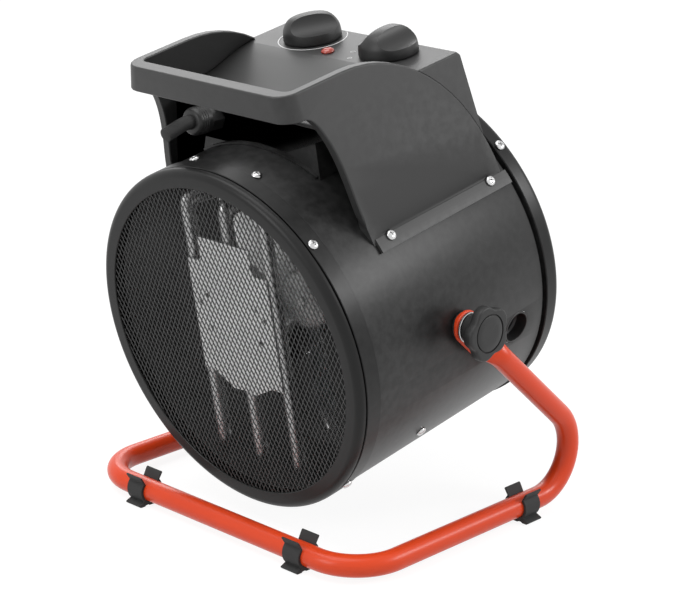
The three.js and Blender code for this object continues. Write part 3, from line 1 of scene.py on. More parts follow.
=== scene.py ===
"""A round forced air heater: drum, hood, controls and tilting stand, dressed round its CAD frame.

Lengths are in millimetres until a mesh is placed, and in metres from then on. The drum's own
frame has y running back along the drum's axis from its middle and z up from that axis; it leans
nose-down in the stand.
"""
from math import acos, atan2, cos, hypot, pi, radians, sin, sqrt, tan

import bmesh
import bpy
from mathutils import Matrix, Vector


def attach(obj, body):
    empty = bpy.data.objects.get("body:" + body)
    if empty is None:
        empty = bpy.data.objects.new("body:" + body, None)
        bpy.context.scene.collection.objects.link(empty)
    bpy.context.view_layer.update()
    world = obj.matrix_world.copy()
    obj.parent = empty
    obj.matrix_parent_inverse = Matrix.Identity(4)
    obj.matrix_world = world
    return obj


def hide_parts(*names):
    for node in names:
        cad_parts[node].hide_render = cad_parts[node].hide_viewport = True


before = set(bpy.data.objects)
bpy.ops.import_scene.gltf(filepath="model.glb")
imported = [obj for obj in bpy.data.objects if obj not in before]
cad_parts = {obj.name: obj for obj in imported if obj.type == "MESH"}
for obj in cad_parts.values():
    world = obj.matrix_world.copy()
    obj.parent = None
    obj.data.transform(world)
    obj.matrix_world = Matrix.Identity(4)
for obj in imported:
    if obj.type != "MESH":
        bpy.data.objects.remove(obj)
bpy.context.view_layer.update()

# ---- Sizes shared with the solids ----------------------------------------------------------------
MM = 0.001
DRUM_TILT = radians(10.2)
PIVOT_HEIGHT = 168
DRUM_LENGTH = 222
SKIN_RADIUS = 134
SKIN_SHEET = 1.2
SWAGED_RADIUS = 130.2  # the casing's rear end, drawn in to carry the rear ring
BAND_RADIUS = 135.3  # the outside of both rings
OPENING_RADIUS = 121.5
HOOD_TOP = 200
PANEL_TOP = 176.5
CONTROL_SPREAD = 39.5
CONTROL_BACK = 165
TUBE_RADIUS = 8.5
RAIL_SPREAD = 143.5
RAIL_HEIGHT = 11.5
STAND_FRONT = 117.5
SIDES = (("right", 1), ("left", -1))

METRES = Matrix.Scale(MM, 4)
PIVOT = METRES @ Matrix.Translation((0, 0, PIVOT_HEIGHT))
DRUM = PIVOT @ Matrix.Rotation(DRUM_TILT, 4, "X")
PANEL = DRUM @ Matrix.Translation((0, 0, PANEL_TOP))


def behind(distance):
    """The y of a place given from the drum's front face."""
    return distance - DRUM_LENGTH / 2


def on_drum(angle, back, radius):
    """A frame on the drum whose z points out of the skin, at an angle from the top."""
    outward = DRUM @ Matrix.Translation((0, behind(back), 0)) @ Matrix.Rotation(angle, 4, "Y")
    return outward @ Matrix.Translation((0, 0, radius))


# ---- Camera, lights and floor --------------------------------------------------------------------
def add_camera():
    camera = bpy.data.cameras.new("photo_camera")
    camera.sensor_width = 36
    camera.lens = 118.51
    camera.clip_end = 50
    holder = bpy.data.objects.new("photo_camera", camera)
    bpy.context.scene.collection.objects.link(holder)
    holder.location = (1.1468, -1.15795, 0.6867)
    holder.rotation_euler = (radians(72.086), 0, radians(44.453))
    bpy.context.scene.camera = holder


def add_softbox(name, place, target_height, width, height, watts):
    """An area light that looks at a point over the middle of the floor."""
    light = bpy.data.lights.new(name, "AREA")
    light.shape = "RECTANGLE"
    light.size = width
    light.size_y = height
    light.energy = watts
    holder = bpy.data.objects.new(name, light)
    bpy.context.scene.collection.objects.link(holder)
    holder.location = place
    towards = Vector((0, 0, target_height)) - Vector(place)
    holder.rotation_euler = towards.to_track_quat("-Z", "Y").to_euler()


def wire(tree, kind, settings=None, **inputs):
    """Adds a node; each input takes a value or a socket.

    An input goes by its socket's name with underscores for spaces, or by _ and its number.
    """
    added = tree.nodes.new(kind)
    for key, value in (settings or {}).items():
        setattr(added, key, value)
    for key, value in inputs.items():
        label = int(key[1:]) if key[1:].isdigit() else key.replace("_", " ")
        socket = added.inputs[label]
        if isinstance(value, bpy.types.NodeSocket):
            tree.links.new(value, socket)
        else:
            socket.default_value = value
    return added


def combined(tree, operation, first, second):
    """The result of a maths node on two values or sockets."""
    return wire(tree, "ShaderNodeMath", {"operation": operation}, _0=first, _1=second).outputs[0]


def remapped(tree, value, start=0.0, end=1.0, low=0.0, high=1.0):
    """A value brought from the range start to end over to the range low to high."""
    return wire(tree, "ShaderNodeMapRange", Value=value, From_Min=start, From_Max=end,
                To_Min=low, To_Max=high).outputs[0]


def seen_directly(tree):
    """1 for rays that come straight from the camera, or by way of gloss or glass."""
    path = wire(tree, "ShaderNodeLightPath").outputs
    open_or_gloss = combined(tree, "MAXIMUM", path["Is Camera Ray"], path["Is Glossy Ray"])
    return combined(tree, "MAXIMUM", open_or_gloss, path["Is Transmission Ray"])


def light_world():
    """White air where it is seen, and half as bright where it lights the object."""
    world = bpy.data.worlds.new("studio")
    bpy.context.scene.world = world
    world.use_nodes = True
    tree = world.node_tree
    tree.nodes.clear()
    level = remapped(tree, seen_directly(tree), low=0.5, high=1.0)
    air = wire(tree, "ShaderNodeBackground", Color=(1, 1, 1, 1), Strength=level)
    wire(tree, "ShaderNodeOutputWorld", Surface=air.outputs[0])


def lay_floor():
    """A wide sheet just under the feet: paper that catches a faint shadow, mixed with white."""
    reach, drop = 9, 0.0004
    corners = [(-reach, -reach, -drop), (reach, -reach, -drop), (reach, reach, -drop),
               (-reach, reach, -drop)]
    mesh = bpy.data.meshes.new("floor")
    mesh.from_pydata(corners, [], [(0, 1, 2, 3)])
    floor = bpy.data.objects.new("floor", mesh)
    bpy.context.scene.collection.objects.link(floor)
    paint = bpy.data.materials.new("floor_paper")
    paint.use_nodes = True
    tree = paint.node_tree
    tree.nodes.clear()
    paper = wire(tree, "ShaderNodeBsdfDiffuse", Color=(0.6, 0.6, 0.6, 1))
    white = wire(tree, "ShaderNodeEmission", Color=(1, 1, 1, 1), Strength=1.25)
    share = combined(tree, "MULTIPLY", seen_directly(tree), 0.72)
    both = wire(tree, "ShaderNodeMixShader", _0=share, _1=paper.outputs[0], _2=white.outputs[0])
    wire(tree, "ShaderNodeOutputMaterial", Surface=both.outputs[0])
    mesh.materials.append(paint)


bpy.context.scene.view_settings.view_transform = "Standard"
add_camera()
light_world()
lay_floor()
add_softbox("overhead_softbox", (-0.3, -0.4, 1.9), 0.15, 1.4, 1.4, 20)
add_softbox("back_left_softbox", (-1.8, 1.4, 1.5), 0.2, 1.4, 0.9, 16)
add_softbox("back_right_softbox", (1.75, 1.35, 1.3), 0.2, 1.0, 0.6, 24)
add_softbox("front_softbox", (-0.3, -2.0, 1.0), 0.15, 0.8, 0.8, 11)


# ---- Surface effects, each a node group ----------------------------------------------------------
def new_effect(name, inputs, outputs):
    """An empty node group of plain numbers, with its input and output nodes."""
    tree = bpy.data.node_groups.new(name, "ShaderNodeTree")
    kind = "NodeSocketFloat"
    for label, value in inputs.items():
        socket = tree.interface.new_socket(label, in_out="INPUT", socket_type=kind)
        socket.default_value = value
    for label in outputs:
        tree.interface.new_socket(label, in_out="OUTPUT", socket_type=kind)
    return tree, tree.nodes.new("NodeGroupInput"), tree.nodes.new("NodeGroupOutput")


def orange_peel(tree, place, scale):
    """The fine ripple of a powder coat."""
    return wire(tree, "ShaderNodeTexNoise", Vector=place, Scale=scale, Detail=2.0,
                Roughness=0.45).outputs["Fac"]


def mould_pebbles(tree, place, scale):
    """The pebbled skin of a textured mould."""
    return wire(tree, "ShaderNodeTexVoronoi", {"feature": "SMOOTH_F1"}, Vector=place,
                Scale=scale).outputs["Distance"]


def drawing_lines(tree, place, scale):
    """Fine lines left by rolling or drawing metal, running up the object."""
    stretched = wire(tree, "ShaderNodeMapping", Vector=place, Scale=(1.0, 1.0, 0.04))
    return wire(tree, "ShaderNodeTexNoise", Vector=stretched.outputs[0], Scale=scale,
                Detail=2.0).outputs["Fac"]


def clouded_effect(name, relief, scale, cloud_scale, cloud_detail):
    """A group that puts out a fine Height and a slow, faint change of Tone."""
    tree, given, out = new_effect(name, {"Scale": scale, "Cloud Scale": cloud_scale},
                                  ("Height", "Tone"))
    place = wire(tree, "ShaderNodeTexCoord").outputs["Object"]
    cloud = wire(tree, "ShaderNodeTexNoise", Vector=place, Scale=given.outputs["Cloud Scale"],
                 Detail=cloud_detail)
    tree.links.new(relief(tree, place, given.outputs["Scale"]), out.inputs["Height"])
    tree.links.new(cloud.outputs["Fac"], out.inputs["Tone"])
    return tree


def painted_edge_highlight():
    """Painted highlight: 1 along outer edges, broken up by noise, where each finish lays its lighter
    third tone.
    """
    tree, given, out = new_effect("painted_edge_highlight", {"Amount": 0.5}, ("Mask",))
    edge = wire(tree, "ShaderNodeNewGeometry").outputs["Pointiness"]
    place = wire(tree, "ShaderNodeTexCoord").outputs["Object"]
    highlight_breakup = wire(tree, "ShaderNodeTexNoise", Vector=place, Scale=160.0, Detail=4.0)
    sharp = remapped(tree, edge, 0.52, 0.6)
    broken = remapped(tree, highlight_breakup.outputs["Fac"], 0.35, 0.65)
    both = combined(tree, "MULTIPLY", sharp, broken)
    mask = combined(tree, "MULTIPLY", both, given.outputs["Amount"])
    tree.links.new(mask, out.inputs["Mask"])
    return tree


EFFECTS = {
    "powder_coat": clouded_effect("powder_coat", orange_peel, 900.0, 9.0, 3.0),
    "moulded_grain": clouded_effect("moulded_grain", mould_pebbles, 1100.0, 14.0, 4.0),
    "drawn_lines": clouded_effect("drawn_lines", drawing_lines, 1500.0, 40.0, 3.0),
}
# The painted edge highlight that every finish lays along outer edges, and its strength.
EDGE_HIGHLIGHT_GROUP = painted_edge_highlight()
EDGE_HIGHLIGHT_AMOUNT = 0.4


def blend_colours(tree, mask, low, high):
    """A colour between two colours or sockets."""
    return wire(tree, "ShaderNodeMix", {"data_type": "RGBA"}, _0=mask, _6=low, _7=high).outputs[2]


def surface(name, low, high, edge, rough, effect, scale, bump, metallic=0.0, coat=0.0,
            specular=0.5):
    """A finish: two close tones under an effect's cloud, a lighter third, edge, painted along outer
    edges as a highlight, and a bump.

    rough holds the roughness at both ends of the cloud, bump its strength and height.
    """
    made = bpy.data.materials.new(name)
    made.use_nodes = True
    tree = made.node_tree
    tree.nodes.clear()
    grain = wire(tree, "ShaderNodeGroup", {"node_tree": EFFECTS[effect]}, Scale=scale)
    # Painted highlight: the lighter edge tone goes where this mask is 1.
    highlight_on_edges = wire(tree, "ShaderNodeGroup", {"node_tree": EDGE_HIGHLIGHT_GROUP}, Amount=EDGE_HIGHLIGHT_AMOUNT)
    cloud = remapped(tree, grain.outputs["Tone"], 0.3, 0.7)
    body = blend_colours(tree, cloud, (*low, 1), (*high, 1))
    colour = blend_colours(tree, highlight_on_edges.outputs["Mask"], body, (*edge, 1))
    strength, distance = bump
    relief = wire(tree, "ShaderNodeBump", Height=grain.outputs["Height"], Strength=strength,
                  Distance=distance * MM)
    shader = wire(tree, "ShaderNodeBsdfPrincipled", Base_Color=colour,
                  Roughness=remapped(tree, cloud, low=rough[0], high=rough[1]),
                  Metallic=metallic, Coat_Weight=coat, Coat_Roughness=0.12,
                  Specular_IOR_Level=specular, Normal=relief.outputs[0])
    wire(tree, "ShaderNodeOutputMaterial", Surface=shader.outputs[0])
    made.diffuse_color = (*low, 1)
    return made


def grey(value):
    return (value, value, value)


# The third colour of each finish is a painted highlight, lighter than the body, laid along outer
# edges.
FINISHES = {
    "casing": surface(
        "charcoal_powder_coat", grey(0.013), grey(0.0145), grey(0.05), (0.37, 0.4),
        "powder_coat", 900.0, (0.25, 0.06), specular=0.28),
    "ring": surface(
        "ring_powder_coat", grey(0.011), grey(0.014), grey(0.04), (0.32, 0.4),
        "powder_coat", 900.0, (0.2, 0.05), specular=0.22),
    "hood": surface(
        "charcoal_moulding", grey(0.028), grey(0.029), grey(0.07), (0.45, 0.47),
        "moulded_grain", 1300.0, (0.18, 0.05), specular=0.42),
    "black_plastic": surface(
        "black_moulding", grey(0.016), grey(0.019), grey(0.035), (0.42, 0.48),
        "moulded_grain", 1500.0, (0.15, 0.04), specular=0.38),
    "rubber": surface(
        "black_rubber", grey(0.022), grey(0.03), grey(0.05), (0.62, 0.75),
        "moulded_grain", 1800.0, (0.25, 0.05), specular=0.35),
    "stand_paint": surface(
        "orange_red_powder_coat", (0.72, 0.055, 0.01), (0.76, 0.064, 0.013), (0.8, 0.12, 0.05),
        (0.28, 0.36), "powder_coat", 700.0, (0.12, 0.05), coat=0.05, specular=0.32),
    "zinc": surface(
        "bright_zinc", grey(0.56), grey(0.68), grey(0.8), (0.18, 0.32),
        "drawn_lines", 900.0, (0.1, 0.02), metallic=1.0),
    "aluminium": surface(
        "mill_aluminium", grey(0.72), grey(0.8), grey(0.85), (0.36, 0.46),
        "drawn_lines", 1600.0, (0.2, 0.03), metallic=1.0),
    "dark_steel": surface(
        "black_coated_steel", grey(0.018), grey(0.024), grey(0.09), (0.38, 0.48),
        "powder_coat", 1200.0, (0.15, 0.03), specular=0.6),
    "heater_steel": surface(
        "element_sheath", grey(0.46), grey(0.6), grey(0.7), (0.3, 0.45),
        "drawn_lines", 1300.0, (0.15, 0.03), metallic=1.0),
    "lamp_red": surface(
        "red_lamp_lens", (0.34, 0.025, 0.014), (0.42, 0.04, 0.02), (0.7, 0.16, 0.1),
        (0.08, 0.14), "moulded_grain", 600.0, (0.05, 0.02), coat=0.5),
}
# Its third colour is a painted highlight along the print's edges.
WHITE_PRINT = surface(
    "white_print", grey(0.6), grey(0.68), grey(0.7), (0.5, 0.6),
    "powder_coat", 900.0, (0.05, 0.01))


# ---- Mesh making ---------------------------------------------------------------------------------
def mesh_of(points, faces):
    mesh = bpy.data.meshes.new("shape")
    mesh.from_pydata([tuple(point) for point in points], [], faces)
    mesh.update()
    return tidied(mesh)


def tidied(mesh, weld=0.0005, flat=0.0):
    """Welds the mesh, turns its faces outward and, given an angle, joins faces of flat areas."""
    working = bmesh.new()
    working.from_mesh(mesh)
    bmesh.ops.remove_doubles(working, verts=working.verts, dist=weld)
    if flat:
        bmesh.ops.dissolve_limit(working, angle_limit=radians(flat), verts=working.verts,
                                 edges=working.edges)
    bmesh.ops.recalc_face_normals(working, faces=working.faces)
    working.to_mesh(mesh)
    working.free()
    return mesh


def arc(centre_u, centre_v, radius, start, end, steps):
    """Points on an arc, both ends included; angles in degrees."""
    turns = [radians(start + (end - start) * i / steps) for i in range(steps + 1)]
    return [(centre_u + radius * cos(turn), centre_v + radius * sin(turn)) for turn in turns]


def skin(loops):
    """Faces over a row of closed loops of points, with both ends capped."""
    count = len(loops[0])
    points = [point for loop in loops for point in loop]
    faces = []
    for low in range(0, len(points) - count, count):
        high = low + count
        faces += [(low + i, low + (i + 1) % count, high + (i + 1) % count, high + i)
                  for i in range(count)]
    faces += [tuple(range(count)), tuple(len(points) - count + i for i in range(count))]
    return mesh_of(points, faces)


def turned(profile, facets=64, axis="z"):
    """A (radius, along) profile turned about an axis; it is closed, or has both ends on the axis."""
    place = {"z": lambda r, a, c, s: (r * c, r * s, a),
             "y": lambda r, a, c, s: (r * s, a, r * c),
             "x": lambda r, a, c, s: (a, r * c, r * s)}[axis]
    open_ended = profile[0][0] == 0 and profile[-1][0] == 0
    count = len(profile)
    points, faces = [], []
    for step in range(facets):
        c, s = cos(2 * pi * step / facets), sin(2 * pi * step / facets)
        points += [place(r, a, c, s) for r, a in profile]
        low, high = step * count, (step + 1) % facets * count
        for i in range(count - 1 if open_ended else count):
            j = (i + 1) % count
            quad = (low + i, low + j, high + j, high + i)
            if open_ended and i == 0:
                quad = (0, low + j, high + j)
            elif open_ended and j == count - 1:
                quad = (low + i, count - 1, high + i)
            faces.append(quad)
    return mesh_of(points, faces)


def prism(outline, low, high, axis="z"):
    """A flat outline made solid along an axis: (x, y) along z, (x, z) along y, (y, z) along x."""
    lift = {"z": lambda u, v, w: (u, v, w),
            "y": lambda u, v, w: (u, w, v),
            "x": lambda u, v, w: (w, u, v)}[axis]
    return skin([[lift(u, v, w) for u, v in outline] for w in (low, high)])


def bent_path(corners, bends, steps=10):
    """(point, direction) stations along a line through corners, each rounded to its bend radius."""
    corners = [Vector(corner) for corner in corners]
    stations = [(corners[0], (corners[1] - corners[0]).normalized())]
    for before, corner, after, bend in zip(corners, corners[1:], corners[2:], bends):
        inward, outward = (corner - before).normalized(), (after - corner).normalized()
        turn = inward.angle(outward)
        start = corner - inward * bend * tan(turn / 2)
        side = (outward - inward * inward.dot(outward)).normalized()
        touching = (stations[-1][0] - start).length < 1e-6
        for step in range(1 if touching else 0, steps + 1):
            angle = turn * step / steps
            point = start + inward * bend * sin(angle) + side * bend * (1 - cos(angle))
            stations.append((point, inward * cos(angle) + side * sin(angle)))
    stations.append((corners[-1], (corners[-1] - corners[-2]).normalized()))
    return stations


def tube(stations, radius, sides=20, dome=0.0):
    """A round bar along stations, its ends flat or domed."""
    loops = []
    side = stations[0][1].orthogonal().normalized()
    rings = [(point, along, radius) for point, along in stations]
    if dome:
        caps = [(0.0, 0.05), (0.3, 0.71), (0.7, 0.95), (1.0, 1.0)]
        (start, leaving, _), (end, arriving, _) = rings[0], rings[-1]
        rings = [*((start + leaving * dome * push, leaving, radius * size) for push, size in caps),
                 *rings[1:-1],
                 *((end - arriving * dome * push, arriving, radius * size)
                   for push, size in reversed(caps))]
    for point, along, size in rings:
        side = (side - along * side.dot(along)).normalized()
        up = along.cross(side)
        turns = [2 * pi * i / sides for i in range(sides)]
        loops.append([point + (side * cos(turn) + up * sin(turn)) * size for turn in turns])
    return skin(loops)


def carved(mesh, tools):
    """The mesh with each tool cut out of it exactly."""
    scene = bpy.context.scene.collection
    work = bpy.data.objects.new("work", mesh)
    scene.objects.link(work)
    helpers = []
    for shape in tools:
        helper = bpy.data.objects.new("tool", shape)
        scene.objects.link(helper)
        step = work.modifiers.new("carve", "BOOLEAN")
        step.operation = "DIFFERENCE"
        step.solver = "EXACT"
        step.object = helper
        helpers.append(helper)
    graph = bpy.context.evaluated_depsgraph_get()
    result = bpy.data.meshes.new_from_object(work.evaluated_get(graph))
    for helper in [work, *helpers]:
        bpy.data.objects.remove(helper)
    return tidied(result)


def joined(meshes):
    """Several meshes as one, without cutting them."""
    points, faces = [], []
    for mesh in meshes:
        start = len(points)
        points += [vertex.co.copy() for vertex in mesh.vertices]
        faces += [tuple(start + i for i in face.vertices) for face in mesh.polygons]
    mesh = bpy.data.meshes.new("shape")
    mesh.from_pydata(points, [], faces)
    return mesh


def moved(mesh, matrix):
    copy = mesh.copy()
    copy.transform(matrix)
    return copy


def piece(name, mesh, place, body, finish, stands_for=(), edge=0.0, smooth=35):
    """A dressed piece on a body, made from a mesh in its frame, its edges rounded by some mm."""
    mesh = moved(mesh, place)
    mesh.name = name
    mesh.materials.clear()
    mesh.materials.append(FINISHES[finish])
    mesh.polygons.foreach_set("use_smooth", [True] * len(mesh.polygons))
    mesh.set_sharp_from_angle(angle=radians(smooth))
    made = bpy.data.objects.new(name, mesh)
    bpy.context.scene.collection.objects.link(made)
    if edge:
        rounding = made.modifiers.new("rounded_edges", "BEVEL")
        rounding.width = edge * MM
        rounding.segments = 2
        rounding.limit_method = "ANGLE"
        rounding.angle_limit = radians(smooth)
        rounding.harden_normals = True
    if stands_for:
        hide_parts(*stands_for)
    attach(made, body)
    return made


def redressed(node, body, finish, edge, above=None):
    """A piece made from a CAD solid's own mesh, with flat areas joined and edges rounded.

    Given a height over the drum's axis, only the sharp edges that lie wholly above it are
    rounded, at full width.
    """
    weld, flat, smooth, sharp = 0.00002, 0.8, 22, radians(50)
    mesh = tidied(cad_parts[node].data.copy(), weld, flat)
    made = piece(f"{node}_dressed", mesh, Matrix(), body, finish, (node,), edge, smooth)
    if above is not None:
        working = bmesh.new()
        working.from_mesh(made.data)
        weight = working.edges.layers.float.new("bevel_weight_edge")
        to_drum = DRUM.inverted()
        for side in working.edges:
            high = all((to_drum @ end.co).z > above for end in side.verts)
            if high and len(side.link_faces) == 2 and side.calc_face_angle(0) > sharp:
                side[weight] = 1.0
        working.to_mesh(made.data)
        working.free()
        rounding = made.modifiers["rounded_edges"]
        rounding.limit_method = "WEIGHT"
        rounding.use_clamp_overlap = False
        rounding.segments = 3
    return made


# ---- Drum ----------------------------------------------------------------------------------------
ROUND = 160  # facets round the drum
QUARTERS = [radians(angle) for angle in (45, 135, 225, 315)]
CUP_RADIUS = 13
CUP_DEPTH = 12
CUP_BACK = 173
CUP_DROP = 30  # how far the cups sit below the drum's axis
CUP_ANGLE = atan2(sqrt(SKIN_RADIUS ** 2 - CUP_DROP ** 2), -CUP_DROP)
ROLL = 6  # from a ring's face and from its outside to the middle of its rolled edge
ROLL_OUTSIDE = 5.9
ROLL_INSIDE = 5


def turned_about_drum(profile):
    """A (radius, distance from the front face) profile turned about the drum's axis."""
    return turned([(r, behind(a)) for r, a in profile], ROUND, "y")


def casing():
    inside = SKIN_RADIUS - SKIN_SHEET
    drawn_inside = SWAGED_RADIUS - SKIN_SHEET
    front, rear = 10, 216
    profile = [(SKIN_RADIUS, front), (SKIN_RADIUS, 202.2), (SKIN_RADIUS - 0.4, 203.2),
               (SWAGED_RADIUS + 0.4, 204.3), (SWAGED_RADIUS, 205.2), (SWAGED_RADIUS, rear),
               (drawn_inside, rear), (drawn_inside, 205.4), (inside, 202.4), (inside, front)]
    bore = CUP_RADIUS + 0.2
    hole = turned([(0, 100), (bore, 100), (bore, 150), (0, 150)], 48)
    middle = Matrix.Translation((0, behind(CUP_BACK), 0))
    holes = [moved(hole, middle @ Matrix.Rotation(side * CUP_ANGLE, 4, "Y"))
             for side in (1, -1)]
    piece("casing_shell", carved(turned_about_drum(profile), holes), DRUM, "heater", "casing",
          ("drum_casing",))


def side_cups():
    bottom = SKIN_RADIUS - CUP_DEPTH
    rim = SKIN_RADIUS + 0.25
    profile = [(0, bottom), (CUP_RADIUS - 1.5, bottom), (CUP_RADIUS - 0.4, bottom + 0.5),
               (CUP_RADIUS, bottom + 1.6), (CUP_RADIUS, rim - 0.3), (CUP_RADIUS - 0.3, rim),
               (CUP_RADIUS - 1.3, rim), (CUP_RADIUS - 1.6, rim - 0.4),
               (CUP_RADIUS - 1.8, bottom + 3), (CUP_RADIUS - 3.2, bottom + 1.6),
               (0, bottom + 1.4)]
    for label, side in SIDES:
        cup = turned(profile, 48)
        for vertex in cup.vertices:  # the rim follows the drum's round side
            if vertex.co.z > SKIN_RADIUS - 4:
                vertex.co.z -= vertex.co.x ** 2 / (2 * SKIN_RADIUS)
        piece(f"side_cup_bowl_{label}", cup, on_drum(side * CUP_ANGLE, CUP_BACK, 0), "heater",
              "black_plastic", (f"side_cup_{label}",))


def front_ring():
    """A rolled edge and a band with a fine groove behind the roll."""
    edge = BAND_RADIUS - ROLL
    groove = BAND_RADIUS - 4.5
    seat = SKIN_RADIUS + 0.05
    profile = [
        (OPENING_RADIUS, 0.6), (OPENING_RADIUS + 0.5, 0.1),
        *arc(edge, ROLL, ROLL_OUTSIDE, -90, 0, 12),
        (BAND_RADIUS, 6.5), (BAND_RADIUS - 0.4, 6.9), (groove + 0.3, 7.1), (groove, 7.4),
        (groove, 7.9), (groove + 0.3, 8.2), (BAND_RADIUS - 0.4, 8.3), (BAND_RADIUS, 8.8),
        (BAND_RADIUS, 21.7), (BAND_RADIUS - 0.3, 22), (seat, 22), (seat, 9.4),
        (groove - 1, 9.2), (groove - 1, 6.1), (SKIN_RADIUS, 5.8),
        *arc(edge, ROLL, ROLL_INSIDE, 0, -90, 10), (OPENING_RADIUS, 1),
    ]
    piece("front_ring_rolled", turned_about_drum(profile), DRUM, "heater", "ring",
          ("front_ring",))


def rear_ring():
    edge, middle = BAND_RADIUS - ROLL, DRUM_LENGTH - ROLL
    seat = SWAGED_RADIUS + 0.05
    profile = [
        (seat, 207), (BAND_RADIUS - 0.6, 207), (BAND_RADIUS, 207.6),
        *arc(edge, middle, ROLL_OUTSIDE, 0, 90, 12),
        (OPENING_RADIUS, 221.9), (OPENING_RADIUS, 221),
        *arc(edge, middle, ROLL_INSIDE, 90, 0, 10), (SKIN_RADIUS + 0.3, 208), (seat, 208),
    ]
    piece("rear_ring_rolled", turned_about_drum(profile), DRUM, "heater", "ring",
          ("rear_ring",))


def front_net():
    """Expanded metal: upright diamonds whose strands slope a little, as stretching leaves them."""
    half_across, half_up = 2.25, 4.1
    bond_across, bond_up = 0.33, 0.6
    thickness, slope = 0.5, 0.22
    reach = OPENING_RADIUS + 6
    front = behind(1.3)
    columns, rows = int(reach / half_across), int(reach / half_up)
    places = [(p, q) for q in range(-rows, rows + 1) for p in range(-columns, columns + 1)
              if (p + q) % 2 == 0 and hypot(p * half_across, q * half_up) < reach]
    number = {place: i for i, place in enumerate(places)}
    corners = [(0, bond_up, slope), (bond_across, 0, 0), (0, -bond_up, -slope),
               (-bond_across, 0, 0)]
    points, faces = [], []
    for p, q in places:
        for depth in (0, thickness):
            points += [(p * half_across + u, front + slope + depth + w, q * half_up + v)
                       for u, v, w in corners]
    # Around each bond the corners are top, right, bottom, left; each strand runs from a side
    # between two corners.
    ways = [((1, 1), (0, 1), (2, 3)), ((1, -1), (1, 2), (3, 0)),
            ((-1, -1), (2, 3), (0, 1)), ((-1, 1), (3, 0), (1, 2))]
    for (p, q), i in number.items():
        near, far = 8 * i, 8 * i + 4
        faces += [(near, near + 1, near + 2, near + 3), (far + 3, far + 2, far + 1, far)]
        for (step_p, step_q), (a, b), (c, d) in ways:
            other = number.get((p + step_p, q + step_q))
            if other is None:
                faces.append((near + a, near + b, far + b, far + a))
            elif step_p > 0:
                c, d = 8 * other + c, 8 * other + d
                a, b = near + a, near + b
                faces += [(a, b, c, d), (a + 4, d + 4, c + 4, b + 4),
                          (b, b + 4, c + 4, c), (d, d + 4, a + 4, a)]
    piece("front_net", mesh_of(points, faces), DRUM, "heater", "dark_steel", ("front_mesh",),
          smooth=20)


def liner():
    outside, inside = SKIN_RADIUS - 10, SKIN_RADIUS - 11
    lip = SKIN_RADIUS - SKIN_SHEET - 0.1
    front, rear = 12, 98
    profile = [(inside, front + 0.3), (inside + 0.5, front), (outside, front + 0.3),
               (outside, rear - 1.6), (outside + 0.6, rear - 1), (lip, rear - 1), (lip, rear),
               (inside + 0.6, rear), (inside, rear - 0.6)]
    piece("heat_shield_liner", turned_about_drum(profile), DRUM, "heater", "dark_steel",
          ("heat_shield",))


# ---- Heating elements ----------------------------------------------------------------------------
ROD_RADIUS = 4.25
ELEMENT_SPREAD = 41
STAGGER = 15  # each rear leg stands this far behind and beside its front leg


def heating_elements():
    """Three hairpins, their legs staggered front to back and led up to the wiring box."""
    top, bottom = SKIN_RADIUS - 26, 27 - SKIN_RADIUS
    head = SKIN_RADIUS - 2
    front, rear = behind(18), behind(18 + STAGGER)
    entry, leaving, entry_shift = behind(68), behind(69), 14
    lead_bend, hairpin = 10, STAGGER * sqrt(0.5) - 0.1
    high_run, low_run = top - 2.5 * ROD_RADIUS, top - 4 * ROD_RADIUS
    bends = [lead_bend, lead_bend, hairpin, hairpin, lead_bend, lead_bend]
    pin = turned([(0, -1), (2.2, -1), (2.2, 6.4), (1.6, 7), (0, 7)], 20)
    for label, x in (("left", -ELEMENT_SPREAD), ("centre", 0), ("right", ELEMENT_SPREAD)):
        inner = x + entry_shift if x < 0 else x - entry_shift
        back = x - STAGGER
        corners = [(inner, entry, head), (inner, entry, high_run), (x, front, top),
                   (x, front, bottom), (back, rear, bottom), (back, rear, low_run),
                   (x, leaving, low_run), (x, leaving, head)]
        rod = tube(bent_path(corners, bends, 8), ROD_RADIUS)
        pins = [moved(pin, Matrix.Translation(corners[i])) for i in (0, -1)]
        piece(f"element_rod_{label}", joined([rod, *pins]), DRUM, "heater", "heater_steel",
              (f"heating_element_{label}",))


# ---- Fan -----------------------------------------------------------------------------------------
FAN_HUB = 26
FAN_TIP = 118
FAN_BLADES = 5
FAN_BACK = 90
HALF_CHORD = 31


def fan_blade():
    """One rounded lobe along +z, pitched and cupped; its root follows the hub's round side."""
    root = FAN_HUB - 2.5
    root_pitch, untwist = 33, 11
    half_sheet = 0.8
    across = [-1, -0.93, -0.75, -0.5, -0.2, 0.2, 0.5, 0.75, 0.93, 1]
    loops = []
    for share in (0, 0.05, 0.12, 0.2, 0.3, 0.4, 0.5, 0.6, 0.7, 0.78, 0.85, 0.91, 0.95, 0.975,
                  0.99):
        radius = root + (FAN_TIP - root) * share
        swell = sin(pi * (0.16 + 0.66 * share)) ** 0.8
        rounded_tip = sqrt(max(0.05, 1 - max(0, (share - 0.72) / 0.285) ** 2))
        half = HALF_CHORD * swell * rounded_tip
        pitch = radians(root_pitch - untwist * share)
        wrap = max(0, 1 - share / 0.35)
        face = []
        for v in across:
            u = v * half * cos(pitch)
            cup = v * half * sin(pitch) + 3.5 * share * (1 - v * v)
            drop = wrap * (radius - sqrt(max(radius ** 2 - u ** 2, 0.3 * radius ** 2)))
            thin = half_sheet * (0.35 if abs(v) == 1 else 0.85 if abs(v) > 0.9 else 1)
            face.append((u, cup, radius - drop, thin))
        loops.append([Vector((u, y - t, z)) for u, y, z, t in face]
                     + [Vector((u, y + t, z)) for u, y, z, t in reversed(face)])
    return skin(loops)


